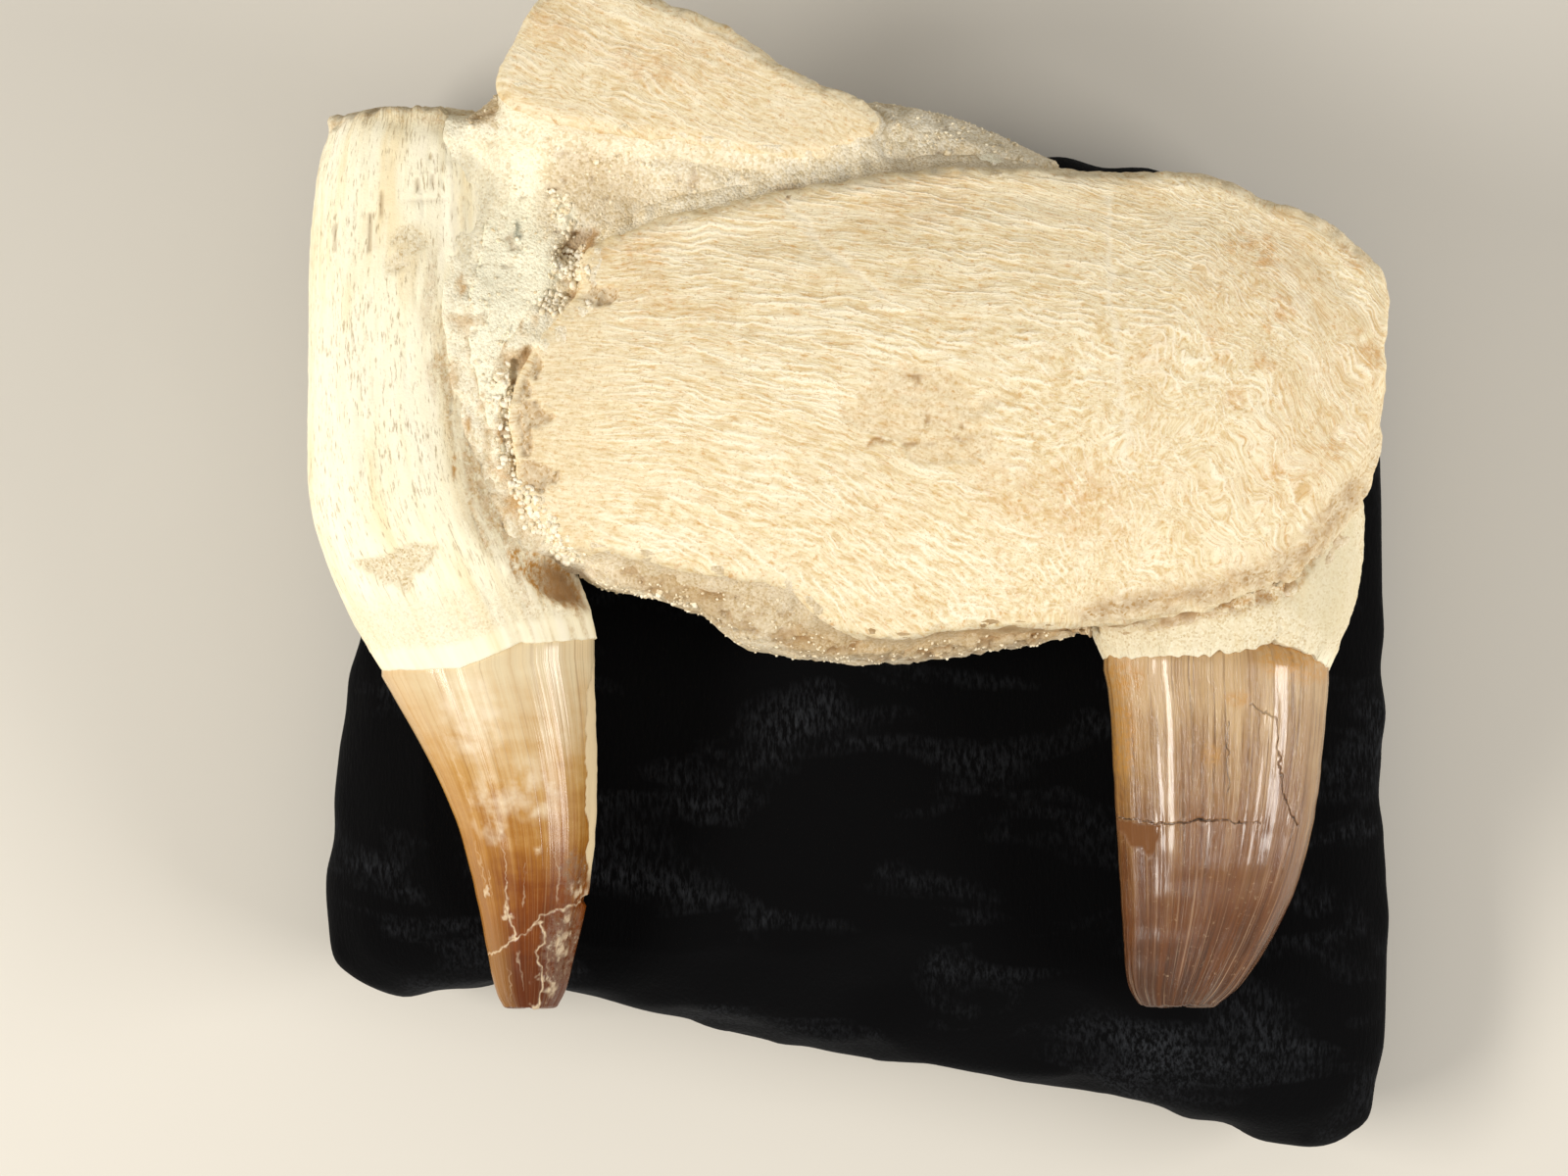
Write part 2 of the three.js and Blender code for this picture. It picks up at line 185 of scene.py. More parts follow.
def rough(points, size, seed=0, octaves=3):
    """Noise with finer noise on it, each octave half the size and half the height."""
    size = np.asarray(size, float)
    return sum(0.5**k * noise(points, size / 2**k, seed + 17 * k) for k in range(octaves))


def smoothstep(value, low, high):
    t = np.clip((value - low) / (high - low), 0, 1)
    return t * t * (3 - 2 * t)


def blur(grid, spread, wrap=False):
    """A grid softened along its first axis by a bell of that spread, in cells."""
    reach = int(3 * spread) + 1
    bell = np.exp(-0.5 * (np.arange(-reach, reach + 1) / spread) ** 2)
    bell /= bell.sum()
    padded = np.pad(grid, [(reach, reach)] + [(0, 0)] * (grid.ndim - 1), "wrap" if wrap else "edge")
    return sum(b * padded[k : k + len(grid)] for k, b in enumerate(bell))


def near_line(points, line):
    """The distance in XY from each point to a line through the given places."""
    nearest = np.full(len(points), np.inf)
    for a, b in zip(line[:-1], line[1:]):
        a, b = np.array(a[:2], float), np.array(b[:2], float)
        along = np.clip(((points[:, :2] - a) @ (b - a)) / ((b - a) @ (b - a)), 0, 1)
        away = points[:, :2] - a - along[:, None] * (b - a)
        nearest = np.minimum(nearest, np.hypot(*away.T))
    return nearest


def near_lines(points, width, *lines):
    """1 on each line in XY, falling away over about that width."""
    return sum(np.exp(-((near_line(points, line) / width) ** 2)) for line in lines)


def scored(points, low, high, *lines):
    """1 within low of each line in XY, falling to 0 at high."""
    return sum(1 - smoothstep(near_line(points, line), low, high) for line in lines)


def in_oval(points, at, half, turn=0):
    """1 in the middle of an oval in XY, falling to 0 at its edge."""
    c, s = math.cos(math.radians(turn)), math.sin(math.radians(turn))
    dx, dy = points[:, 0] - at[0], points[:, 1] - at[1]
    reach = np.hypot((dx * c + dy * s) / half[0], (dy * c - dx * s) / half[1])
    return 1 - smoothstep(reach, 0.5, 1)


def in_ovals(points, ovals):
    """Several ovals together, each as a middle, a half size and a turn, with a share before them or none."""
    total = 0
    for share, *oval in (oval if np.isscalar(oval[0]) else (1, *oval) for oval in ovals):
        total = total + share * in_oval(points, *oval)
    return total


# ---- Meshes ------------------------------------------------------------------------------------


def vectors(items, name):
    """Three numbers for each vertex, face or value in a mesh, as rows."""
    flat = np.empty(len(items) * 3, np.float32)
    items.foreach_get(name, flat)
    return flat.reshape(-1, 3).astype(float)


def places(mesh):
    return vectors(mesh.vertices, "co") / MM


def facings(mesh):
    return vectors(mesh.vertices, "normal")


def put(mesh, points):
    mesh.vertices.foreach_set("co", (points * MM).astype(np.float32).ravel())
    mesh.update()


def mark(mesh, **marks):
    """Keeps one number for each vertex under each name, for the material to read."""
    for name, values in marks.items():
        attribute = mesh.attributes.new(name, "FLOAT", "POINT")
        attribute.data.foreach_set("value", np.clip(values, 0, 1).astype(np.float32))


def mark_vectors(mesh, name, values):
    """Keeps three numbers for each vertex, for the material to read."""
    attribute = mesh.attributes.new(name, "FLOAT_VECTOR", "POINT")
    attribute.data.foreach_set("vector", values.astype(np.float32).ravel())


def new_piece(name, mesh):
    piece = bpy.data.objects.new(name, mesh)
    bpy.context.scene.collection.objects.link(piece)
    mesh.name = name
    return piece


def built(name, points, faces):
    """A piece from its points, in millimetres, and the faces between them."""
    mesh = bpy.data.meshes.new(name)
    mesh.from_pydata((points * MM).tolist(), [], faces)
    mesh.update()
    return new_piece(name, mesh)


def settled(piece):
    """The piece with its modifiers worked into a plain mesh."""
    bpy.context.view_layer.update()
    shown = piece.evaluated_get(bpy.context.evaluated_depsgraph_get())
    mesh = bpy.data.meshes.new_from_object(shown)
    piece.modifiers.clear()
    old, piece.data = piece.data, mesh
    bpy.data.meshes.remove(old)
    return piece


def node_mesh(node):
    """A copy of a CAD node's mesh with its triangles joined."""
    mesh = frame["nodes"][node].data.copy()
    mesh.materials.clear()
    shape = bmesh.new()
    shape.from_mesh(mesh)
    bmesh.ops.remove_doubles(shape, verts=shape.verts, dist=1e-6)
    shape.to_mesh(mesh)
    shape.free()
    return mesh


def tree_of(mesh):
    """A mesh, in millimetres, for rays to hit."""
    return BVHTree.FromPolygons([v.co / MM for v in mesh.vertices], [p.vertices for p in mesh.polygons])


def solid_tree(node):
    return tree_of(frame["nodes"][node].data)


def evenly_faced(name, node, face):
    """A piece of a node's own form, with even faces of about that width."""
    piece = new_piece(name, node_mesh(node))
    remesh = piece.modifiers.new("even faces", "REMESH")
    remesh.mode = "VOXEL"
    remesh.voxel_size = face * MM
    return settled(piece)


def relax(mesh, times):
    """Softens a mesh by moving each point half way to the middle of its neighbours."""
    edges = np.empty(len(mesh.edges) * 2, np.int32)
    mesh.edges.foreach_get("vertices", edges)
    a, b = edges.reshape(-1, 2).T
    count = len(mesh.vertices)
    near = np.bincount(a, minlength=count) + np.bincount(b, minlength=count)
    points = places(mesh)
    for _ in range(times):
        sides = [np.bincount(a, points[b, k], count) + np.bincount(b, points[a, k], count) for k in range(3)]
        points += 0.5 * (np.stack(sides, axis=1) / near[:, None] - points)
    put(mesh, points)


def finish_piece(piece, material, slot, *nodes):
    piece.data.materials.clear()
    piece.data.materials.append(material)
    piece.data.shade_smooth()
    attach(piece, "root")
    if nodes:
        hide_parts(*nodes)
    return piece


# ---- Fields over the faces of the plates -------------------------------------------------------


class Field:
    """A grid of values over an area of XY, read between its cells."""

    def __init__(self, low, high, cell):
        self.low, self.cell = np.array(low, float), cell
        self.shape = tuple(np.ceil((np.array(high) - low) / cell).astype(int) + 1)
        x, y = np.meshgrid(*(np.arange(n) for n in self.shape), indexing="ij")
        self.x, self.y = self.low[0] + x * cell, self.low[1] + y * cell

    def cells(self, x, y):
        u = np.clip((x - self.low[0]) / self.cell, 0, self.shape[0] - 1.001)
        v = np.clip((y - self.low[1]) / self.cell, 0, self.shape[1] - 1.001)
        i, j = u.astype(int), v.astype(int)
        return i, j, u - i, v - j

    def read(self, values, x, y):
        i, j, u, v = self.cells(x, y)
        near = values[i, j] * (1 - u) + values[i + 1, j] * u
        far = values[i, j + 1] * (1 - u) + values[i + 1, j + 1] * u
        return near * (1 - v) + far * v

    def soften(self, values, spread):
        across = blur(values, spread / self.cell)
        return blur(across.T, spread / self.cell).T


def ease_face(piece, spread):
    """Rounds away the flat facets of a plate's front, which all face up."""
    mesh = piece.data
    points, facing = places(mesh), facings(mesh)
    field = Field(points[:, :2].min(0) - 1, points[:, :2].max(0) + 1, 0.8)
    front = smoothstep(facing[:, 2], 0.6, 0.8)
    i, j, _, _ = field.cells(points[:, 0], points[:, 1])
    cell = i * field.shape[1] + j
    size = field.shape[0] * field.shape[1]
    weight = np.bincount(cell, front, size).reshape(field.shape)
    height = np.bincount(cell, front * points[:, 2], size).reshape(field.shape)
    soft = field.soften(height, spread) / np.maximum(field.soften(weight, spread), 1e-6)
    eased = field.read(soft, points[:, 0], points[:, 1])
    points[:, 2] += front * np.clip(eased - points[:, 2], -1.2, 1.2)
    put(mesh, points)


# ---- Node trees --------------------------------------------------------------------------------


def opaque(colour):
    """A colour with its alpha, from sRGB hex or from linear red, green and blue."""
    return (*(linear(colour) if isinstance(colour, str) else colour), 1)


def add(tree, kind, links=(), out=None, stops=(), **settings):
    """Adds a node and gives back one output, the first in use unless out names it.

    kind may leave out ShaderNode. settings are the node's own, stops fill a ramp, and links go to its
    sockets by identifier, or in order where they aren't a dictionary: for MapRange, the value, the
    range it comes from and the range it goes to.
    """
    node = tree.nodes.new(kind if "Node" in kind else "ShaderNode" + kind)
    for name, value in settings.items():
        setattr(node, name, value)
    for stop, (place, colour) in enumerate(stops):
        element = node.color_ramp.elements[stop] if stop < 2 else node.color_ramp.elements.new(place)
        element.position = place
        element.color = opaque(colour)
    if not isinstance(links, dict):
        links = {socket.identifier: value for socket, value in zip(node.inputs, links)}
    for key, value in links.items():
        socket = next(s for s in node.inputs if s.identifier == key)
        if isinstance(value, bpy.types.NodeSocket):
            tree.links.new(value, socket)
        else:
            socket.default_value = opaque(value) if socket.type == "RGBA" else value
    if out:
        return node.outputs[out]
    return next((s for s in node.outputs if s.enabled), None)


def fresh_material(name, *marks):
    """A new material with its tree, its Object coordinates and the marks that it reads from its pieces."""
    material = bpy.data.materials.new(name)
    material.use_nodes = True
    tree = material.node_tree
    tree.nodes.clear()
    place = add(tree, "TexCoord", out="Object")
    marks = {mark: add(tree, "Attribute", out="Fac", attribute_name=mark) for mark in marks}
    return material, tree, place, marks


def per(millimetres):
    """A noise scale on Object coordinates, in metres, for a pattern of that size."""
    return 1 / (millimetres * MM)


# ---- Bone and stone plates ---------------------------------------------------------------------

# How the fibres of the bones run, as (x, y, turn in degrees).
JAW_GRAIN = (
    (-31.7, 44.7, 5), (-21.9, 50.8, 6), (2.7, 53.3, 3), (-31.7, 27.6, -3), (-9.6, 39.8, -3),
    (-31.7, 12.9, -14), (-14.5, 17.8, -17), (-14.5, 6.7, -32), (-1.0, 6.7, -42), (8.8, 14.1, -32),
    (14.9, 30.0, -8), (14.9, 45.9, -3), (37.0, 45.9, -8), (33.3, 27.6, -12), (27.2, 10.4, -25),
    (51.7, 47.2, -25), (61.5, 36.1, -75), (51.7, 27.6, -55), (49.2, 12.9, -50), (39.4, 20.2, -35),
)
UPPER_GRAIN = ((-42, 74, -22), (-35, 68, -20), (-25, 66, -21), (-10, 63, -24), (0, 61, -18))

# Every patch from here on is an oval: a middle and a half size in millimetres and a turn in degrees,
# with a share before them where the patches differ in strength.
# First the brown notches between the tongues of the jaw bone's left edge and in the stone beside them.
EDGE_PITS = (
    ((-42.4, 33.4), (3.4, 2.9), 20), ((-43.0, 30.6), (2.2, 1.6), 0), ((-42.0, 27.4), (4.2, 1.9), -12),
    ((-43.4, 24.2), (2.6, 3.2), 10), ((-41.2, 19.8), (4.4, 1.9), -8), ((-33.6, 42.2), (4.6, 1.4), -6),
    ((-36.0, 48.8), (4.2, 2.0), 35),
)
# The bone is lost from a patch in the middle, with brown cracks round it.
LOST_BONE = ((8.3, 28.0), (11.0, 6.4), -6)
LOST_EDGES = (
    ((-1.2, 23.0), (3.8, 24.0), (9.6, 23.2), (13.5, 24.6)), ((4.9, 33.2), (7.2, 31.6), (7.0, 29.8)),
    ((7.8, 27.6), (8.4, 26.2)), ((12.4, 26.0), (13.6, 25.2)),
)
# The two sets of fibres: how far apart they are, how much they slant across the grain, and the length
# that they show for, all but the slant in millimetres.
FIBRES = ((0.9, -0.06, 5.0), (0.75, 0.14, 3.4))
# How the fibres wander: over what length, how far in plain bone, and how much farther where they curl.
WANDER = ((6.5, 0.35, 1.3), (2.7, 0.25, 0.8), (1.2, 0.07, 0.2))
# Iron stain in the bones.
BONE_STAINS = (
    (0.8, (49.2, 48.0), (5.6, 2.6), -14), (1.3, (52.8, 40.3), (1.9, 1.9), 0),
    (1.0, (50.7, 38.6), (0.8, 2.2), 20), (0.8, (44.1, 37.5), (2.6, 1.6), -30),
    (0.9, (50.3, 33.8), (2.4, 1.2), -35), (0.8, (45.1, 34.4), (1.6, 1.2), 0),
    (0.8, (46.5, 29.1), (2.6, 2.0), 0), (1.0, (59.3, 22.9), (2.2, 1.8), 0),
    (0.9, (62.1, 47.7), (3.2, 1.4), -25), (0.7, (52.0, 19.8), (1.2, 1.6), 0),
    (0.6, (56.5, 19.8), (2.0, 1.2), 0), (0.6, (64.3, 34.7), (1.6, 2.4), 0), (0.5, (-30, 48.6), (9, 2.2), 8),
    (0.5, (-15.2, 54.0), (5, 2.0), 8), (0.45, (24, 16), (14, 6), -20), (0.45, (-21, 40.5), (6, 2), -12),
    (0.5, (-38, 75), (7, 3), -22), (0.4, (-27, 71), (6, 2.5), -22),
)
# A brown crust along the jaw's lower right rim.
RIM_CRUST = (
    (28.6, 1.6), (35.4, 3.6), (40.7, 4.2), (45.1, 5.4), (50.0, 7.0), (54.6, 8.2), (57.4, 10.4), (60.4, 14.6),
    (62.4, 17.6),
)
# The joint between that rim and the right root, which is open and brown.
# Its brown is part sand and part painted shade under the rim.
RIM_JOINT = ((27.7, 0.5), (38.9, 2.0), (47.7, 4.1), (52.4, 5.5), (56.5, 8.5), (60.0, 12.6), (64.1, 16.7))
# Pale seams that run across the grain of the jaw bone.
SEAMS = (((-9.2, 53.7), (-6.0, 50.0), (-1.5, 45.5), (2.6, 42.2)), ((30.9, 54.6), (31.4, 44.0), (33.3, 20.2)))


def comb(points, grain):
    """How far along and across the bone's fibres each point is, in millimetres.

    The turns are blended between the named places and fade to their mean past the edges. The two
    distances are fitted to them again and again, and may be stretched a little to follow them.
    """
    field = Field(points[:, :2].min(0) - 15, points[:, :2].max(0) + 15, 0.8)
    total = weight = 0
    for x, y, turn in grain:
        near = ((field.x - x) ** 2 + (field.y - y) ** 2 + 40) ** -1.5
        total, weight = total + near * math.radians(turn), weight + near
    mean = math.radians(sum(turn for _, _, turn in grain) / len(grain))
    bent = total / weight - mean
    for axis, size in enumerate(field.shape):
        inset = np.minimum(np.arange(size), np.arange(size)[::-1]) * field.cell
        bent = bent * smoothstep(inset, 0, 12).reshape((-1, 1) if axis == 0 else (1, -1))
    wave_x, wave_y = (2j * np.pi * np.fft.fftfreq(size, field.cell) for size in field.shape)
    wave_x, wave_y = np.meshgrid(wave_x, wave_y, indexing="ij")
    square = wave_x**2 + wave_y**2
    square[0, 0] = 1
    told = []
    for turn in (mean, mean + math.pi / 2):
        x, y = math.cos(turn), math.sin(turn)
        way_x, way_y, stretch = np.cos(turn + bent), np.sin(turn + bent), 1
        for _ in range(24):
            wanted_x, wanted_y = np.fft.fft2(stretch * way_x - x), np.fft.fft2(stretch * way_y - y)
            extra = (wave_x * wanted_x + wave_y * wanted_y) / square
            slope_x, slope_y = (np.fft.ifft2(wave * extra).real for wave in (wave_x, wave_y))
            stretch = np.clip((x + slope_x) * way_x + (y + slope_y) * way_y, 0.7, 1.5)
        distance = x * field.x + y * field.y + np.fft.ifft2(extra).real
        told.append(field.read(distance, points[:, 0], points[:, 1]))
    return told


def cut_finer(piece, chosen):
    """Cuts the chosen faces in four and fits the faces beside them."""
    shape = bmesh.new()
    shape.from_mesh(piece.data)
    shape.faces.ensure_lookup_table()
    edges = {edge for face in np.flatnonzero(chosen) for edge in shape.faces[face].edges}
    bmesh.ops.subdivide_edges(shape, edges=list(edges), cuts=1, use_grid_fill=True)
    shape.to_mesh(piece.data)
    shape.free()


def under(mesh, cover):
    """Which faces have the cover's solid over them."""
    tree = solid_tree(cover)
    return np.array([tree.ray_cast(p.center / MM, (0, 0, 1))[0] is not None for p in mesh.polygons])


def plate(name, node, face, ease, hidden_by=None):
    """A plate with small faces on the front and larger ones behind."""
    piece = evenly_faced(name, node, 2 * face)
    ease_face(piece, ease)
    relax(piece.data, 3)
    fine = vectors(piece.data.polygons, "normal")[:, 2] > 0.35
    if hidden_by:
        fine &= ~under(piece.data, hidden_by)
    cut_finer(piece, fine)
    relax(piece.data, 2)
    return piece


def inland(points, facing, spread):
    """1 well inside a plate's front and less towards its rim."""
    field = Field(points[:, :2].min(0) - 6, points[:, :2].max(0) + 6, 0.6)
    i, j, _, _ = field.cells(points[:, 0], points[:, 1])
    covered = np.zeros(field.shape)
    covered[i[facing[:, 2] > 0.75], j[facing[:, 2] > 0.75]] = 1
    covered = np.minimum(field.soften(covered, 0.6) * 2.2, 1)
    return field.read(field.soften(covered, spread), points[:, 0], points[:, 1])


def shaken(points, size, reach, seed):
    """The points moved at random in XY, so that what is drawn round them gets a ragged edge."""
    moved = points.copy()
    for axis in (0, 1):
        moved[:, axis] += reach * rough(points, size, seed + axis, 2)
    return moved


def dress_bone(piece, grain, swirl, smooth):
    """Gives a plate of bone its fibres, and the marks that its material reads.

    swirl and smooth give, for each point, how far the fibres curl and how far they are worn away.
    """
    mesh, ridge_height = piece.data, look("bone_look").ridge / MM
    points, facing = places(mesh), facings(mesh)
    swirl, worn = swirl(points), smooth(points)
    front = smoothstep(facing[:, 2], 0.35, 0.75)
    inner = inland(points, facing, 1.0)
    along, across = comb(points, grain)
    flat = np.stack([along, across, np.zeros(len(points))], axis=1)
    warped = flat.copy()
    for order, (size, plain, curled) in enumerate(WANDER):
        for axis in (0, 1):
            warped[:, axis] += (plain + curled * swirl) * noise(points, size, 41 + 4 * order + 2 * axis)
    warped[:, 0] *= 1 + 1.3 * swirl
    # Each set of fibres is counted across the grain, so that a fibre lies where its count is whole.
    counts, shown, ridge = [], [], 0
    for order, (apart, slant, length) in enumerate(FIBRES):
        count = (warped[:, 1] + slant * warped[:, 0]) / apart
        count += 0.5 * noise(warped, (8, 2.6, 1), 3 + order) + 0.22 * noise(warped, (2.6, 1.3, 1), 5 + order)
        fibre = np.round(count)
        one = np.stack([warped[:, 0], 37 * fibre, np.zeros(len(points))], axis=1)
        seen = smoothstep(noise(one, (length, 1, 1), 7 + order), -0.3, 0.45)
        seen *= 0.25 + 0.75 * smoothstep(noise(warped, (11, 5, 1), 9 + order), -0.45, 0.25)
        ridge = np.maximum(ridge, seen * np.exp(-((apart * (count - fibre) / 0.27) ** 2)))
        counts.append(count)
        shown.append(seen)
    wobbly = shaken(points, 1.6, 0.7, 61)
    lost = in_oval(shaken(points, 4.5, 2.6, 63), *LOST_BONE)
    lost = smoothstep(lost + 0.22 * rough(points, 1.6, 65, 2), 0.25, 0.5)
    pits = smoothstep(in_ovals(wobbly, EDGE_PITS), 0.2, 0.6) * front
    cracks = near_lines(wobbly, 0.24, *LOST_EDGES) * smoothstep(noise(points, 1.5, 67), -0.3, 0.3)
    fibre = front * smoothstep(inner, 0.3, 0.62) * (1 - np.clip(lost + pits, 0, 1)) * (1 - 0.85 * worn)
    seam = near_lines(wobbly, 0.4, *SEAMS) * front
    rim = 1 - smoothstep(inner + 0.12 * rough(points, 2.2, 71, 2), 0.2, 0.6)
    crust = near_lines(wobbly, 1.7, RIM_CRUST) * smoothstep(facing[:, 2], 0.1, 0.5)
    height = (
        0.22 * noise(points, 13, 11)
        + ridge_height * (1 - 0.55 * swirl) * fibre * (ridge - 0.4)
        + 0.10 * fibre * noise(flat, (9, 2.6, 1), 13)
        + (0.08 + 0.28 * (1 - front)) * rough(points, 2.4, 15, 3)
        + 0.06 * (rim + lost + pits + worn + 2 * crust) * rough(points, 0.8, 17, 2)
        - 0.25 * crust
        - 0.22 * lost * (1 + 0.5 * rough(points, 1.4, 19, 2))
        - 0.6 * pits * (1 + 0.6 * rough(points, 0.9, 21, 2))
        - 0.22 * cracks * front
        - 0.12 * seam
        + 0.4 * (1 - front)
    )
    put(mesh, points + facing * height[:, None])
    mark_vectors(mesh, "grain", warped)
    mark_vectors(mesh, "counts", np.stack([*counts, 0 * worn], axis=1))
    sandy = 0.55 + 0.45 * smoothstep(noise(points, 1.8, 73), -0.4, 0.4)
    stain = in_ovals(wobbly, BONE_STAINS)
    stain += 0.35 * smoothstep(noise(points, 9, 29), 0.25, 0.7) + 0.35 * lost + 1.0 * cracks + 1.0 * crust
    mark(
        mesh,
        first=shown[0],
        second=shown[1],
        fibre=fibre,
        sand=np.maximum.reduce([0.7 * rim * sandy, 0.4 * lost, 0.25 * worn, 0.9 * pits, crust * sandy]),
        stain=stain * front,
        pale=0.7 * seam,
        pit=(0.4 * pits + 0.5 * crust) * (1 + noise(points, 0.9, 69)) * 0.6 + 0.8 * cracks * front,
    )


def weathered_bone():
    """Fossil jaw bone, weathered out of sandstone: matt and chalky, with cream fibres on a sandy ground."""
    bone, stone = look("bone_look"), look("stone_look")
    wanted = ("first", "second", "fibre", "sand", "stain", "pale", "pit")
    material, tree, place, marks = fresh_material("weathered fossil bone", *wanted)
    grain = add(tree, "Attribute", out="Vector", attribute_name="grain")
    counts = add(tree, "Attribute", out="Vector", attribute_name="counts")
    # Along the grain: thin fibres 0.2 mm wide and 3 mm long, hairs 0.15 mm wide, tan bands 0.5 mm wide
    # and 3 mm long, ochre flecks 0.4 mm wide and 1.5 mm long, and worn patches 2 mm wide and 8 mm long.
    patterns = {}
    for name, scale, octaves, roughness, bent in (
        ("thin", (0.3, 2.6, 1), 3, 0.6, 0.4),
        ("hairs", (0.5, 2.8, 1), 3, 0.65, 0),
        ("bands", (0.24, 1.2, 1), 4, 0.65, 0),
        ("ochre", (0.65, 2.1, 1), 4, 0.7, 0),
        ("worn", (0.07, 0.28, 1), 5, 0.65, 0),
    ):
        along = add(tree, "Mapping", {"Vector": grain, "Scale": scale})
        inputs = {"Vector": along, "Scale": 1, "Detail": octaves, "Roughness": roughness, "Distortion": bent}
        patterns[name] = add(tree, "TexNoise", inputs)
    # The fibres' ragged edges, iron stain from tan to orange, and specks of dark sand 0.15 mm across.
    for name, size, octaves, roughness in (
        ("ragged", 0.7, 3, 0.6), ("blot", 1.3, 5, 0.75), ("speck", 0.35, 3, 0.7),
    ):
        inputs = {"Vector": place, "Scale": per(size), "Detail": octaves, "Roughness": roughness}
        patterns[name] = add(tree, "TexNoise", inputs)
    # Cream fibres 0.2 to 0.4 mm wide along the ridges: one lies where a count is whole.
    ragged = add(tree, "MapRange", (patterns["ragged"], 0, 1, -0.45, 0.45))
    threads = []
    for axis, shown in (("X", "first"), ("Y", "second")):
        away = add(tree, "SeparateXYZ", (counts,), out=axis)
        away = add(tree, "Math", (away, ragged), operation="ADD")
        away = add(tree, "Math", (away, 0.5), operation="PINGPONG")
        away = add(tree, "Math", (marks[shown], -0.26, away), operation="MULTIPLY_ADD")
        threads.append(add(tree, "MapRange", (away, 0.05, -0.22)))
    threads.append(add(tree, "MapRange", (patterns["thin"], 0.52, 0.68, 0, 0.8)))
    thread = threads[0]
    for other in threads[1:]:
        thread = add(tree, "Math", (thread, other), operation="MAXIMUM")
    thread = add(tree, "Math", (thread, marks["fibre"]), operation="MULTIPLY")
    band = add(tree, "MapRange", (patterns["bands"], 0.48, 0.64, 0, 0.85))
    band = add(tree, "Math", (band, marks["fibre"]), operation="MULTIPLY")
    blot = add(tree, "MapRange", (patterns["blot"], 0.4, 0.62, 0, 0.7))
    blot = add(tree, "Math", (blot, marks["stain"]), operation="MULTIPLY")
    fleck = add(tree, "MapRange", (patterns["speck"], 0.56, 0.72, 0, 0.6))
    ochre = add(tree, "MapRange", (patterns["ochre"], 0.54, 0.68, 0, 0.75))
    worn = add(tree, "MapRange", (patterns["worn"], 0.48, 0.66, 0, 0.6))
    # Sand still held in the hollows: grains about 0.35 mm across.
    grains = add(tree, "TexVoronoi", {"Vector": place, "Scale": per(0.35)}, out="Color")
    grains = add(tree, "SeparateColor", (grains,), out="Red")
    tones = ((0, "#b8955f"), (0.3, stone.dusk_colour), (1, stone.sand_colour))
    sand = add(tree, "ValToRGB", (grains,), stops=tones)
    tones = ((0.3, "#d8b980"), (0.5, bone.body_colour), (0.7, "#fbf0d4"))
    colour = add(tree, "ValToRGB", (patterns["hairs"],), stops=tones)
    for share, paint in (
        (band, bone.groove_colour), (worn, "#f8eed2"), (ochre, bone.stain_colour),
        (thread, bone.ridge_colour), (blot, bone.stain_colour), (marks["sand"], sand),
        (marks["pale"], "#f4ead2"), (marks["pit"], stone.pit_colour), (fleck, "#b08f5f"),
    ):
        layer = {"Factor_Float": share, "A_Color": colour, "B_Color": paint}
        colour = add(tree, "Mix", layer, data_type="RGBA")
    height = add(tree, "Math", (patterns["hairs"], marks["fibre"], thread), operation="MULTIPLY_ADD")
    height = add(tree, "Math", (patterns["speck"], -0.8, height), operation="MULTIPLY_ADD")
    bump = add(tree, "Bump", {"Strength": 0.6, "Distance": 0.08 * MM, "Height": height})
    finish = {"Base Color": colour, "Roughness": 0.82, "Specular IOR Level": 0.3, "Normal": bump}
    add(tree, "OutputMaterial", (add(tree, "BsdfPrincipled", finish),))
    return material


class FOSSIL_OT_bones(bpy.types.Operator):
    """Makes the two plates of fibrous bone"""

    bl_idname = "fossil.bones"
    bl_label = "Jaw bones"

    def execute(self, context):
        face = look("bone_look").face / MM
        material = weathered_bone()
        jaw = plate("jaw_bone_surface", "jaw_bone", face, 2.6)
        dress_bone(
            jaw,
            JAW_GRAIN,
            swirl=lambda p: smoothstep(p[:, 0] - 0.35 * p[:, 1] + 5 * noise(p, 12, 71), 6, 42),
            smooth=lambda p: smoothstep(-p[:, 0] + 3 * noise(p, 5, 73), 29, 37),
        )
        finish_piece(jaw, material, "jaw_bone", "jaw_bone")
        upper = plate("upper_bone_surface", "upper_bone", face, 2.0)
        dress_bone(
            upper,
            UPPER_GRAIN,
            swirl=lambda p: np.full(len(p), 0.25),
            smooth=lambda p: 0.3 + 0.5 * smoothstep(p[:, 0] + 4 * noise(p, 6, 75), -16, -4),
        )
        finish_piece(upper, material, "jaw_bone", "upper_bone")
        return {"FINISHED"}


# ---- Sandstone ---------------------------------------------------------------------------------

# Where the sandstone is greyer.
DUSKY = (
    (0.45, (-33.0, 56.0), (9, 6), -20), (0.6, (-16, 4), (24, 6), -20), (1.1, (13, -2), (27, 8), 3),
    (0.8, (42, 5.5), (24, 3), 10), (0.8, (-48, 66), (5, 3), 0), (0.35, (12, 58), (14, 4), 0),
)
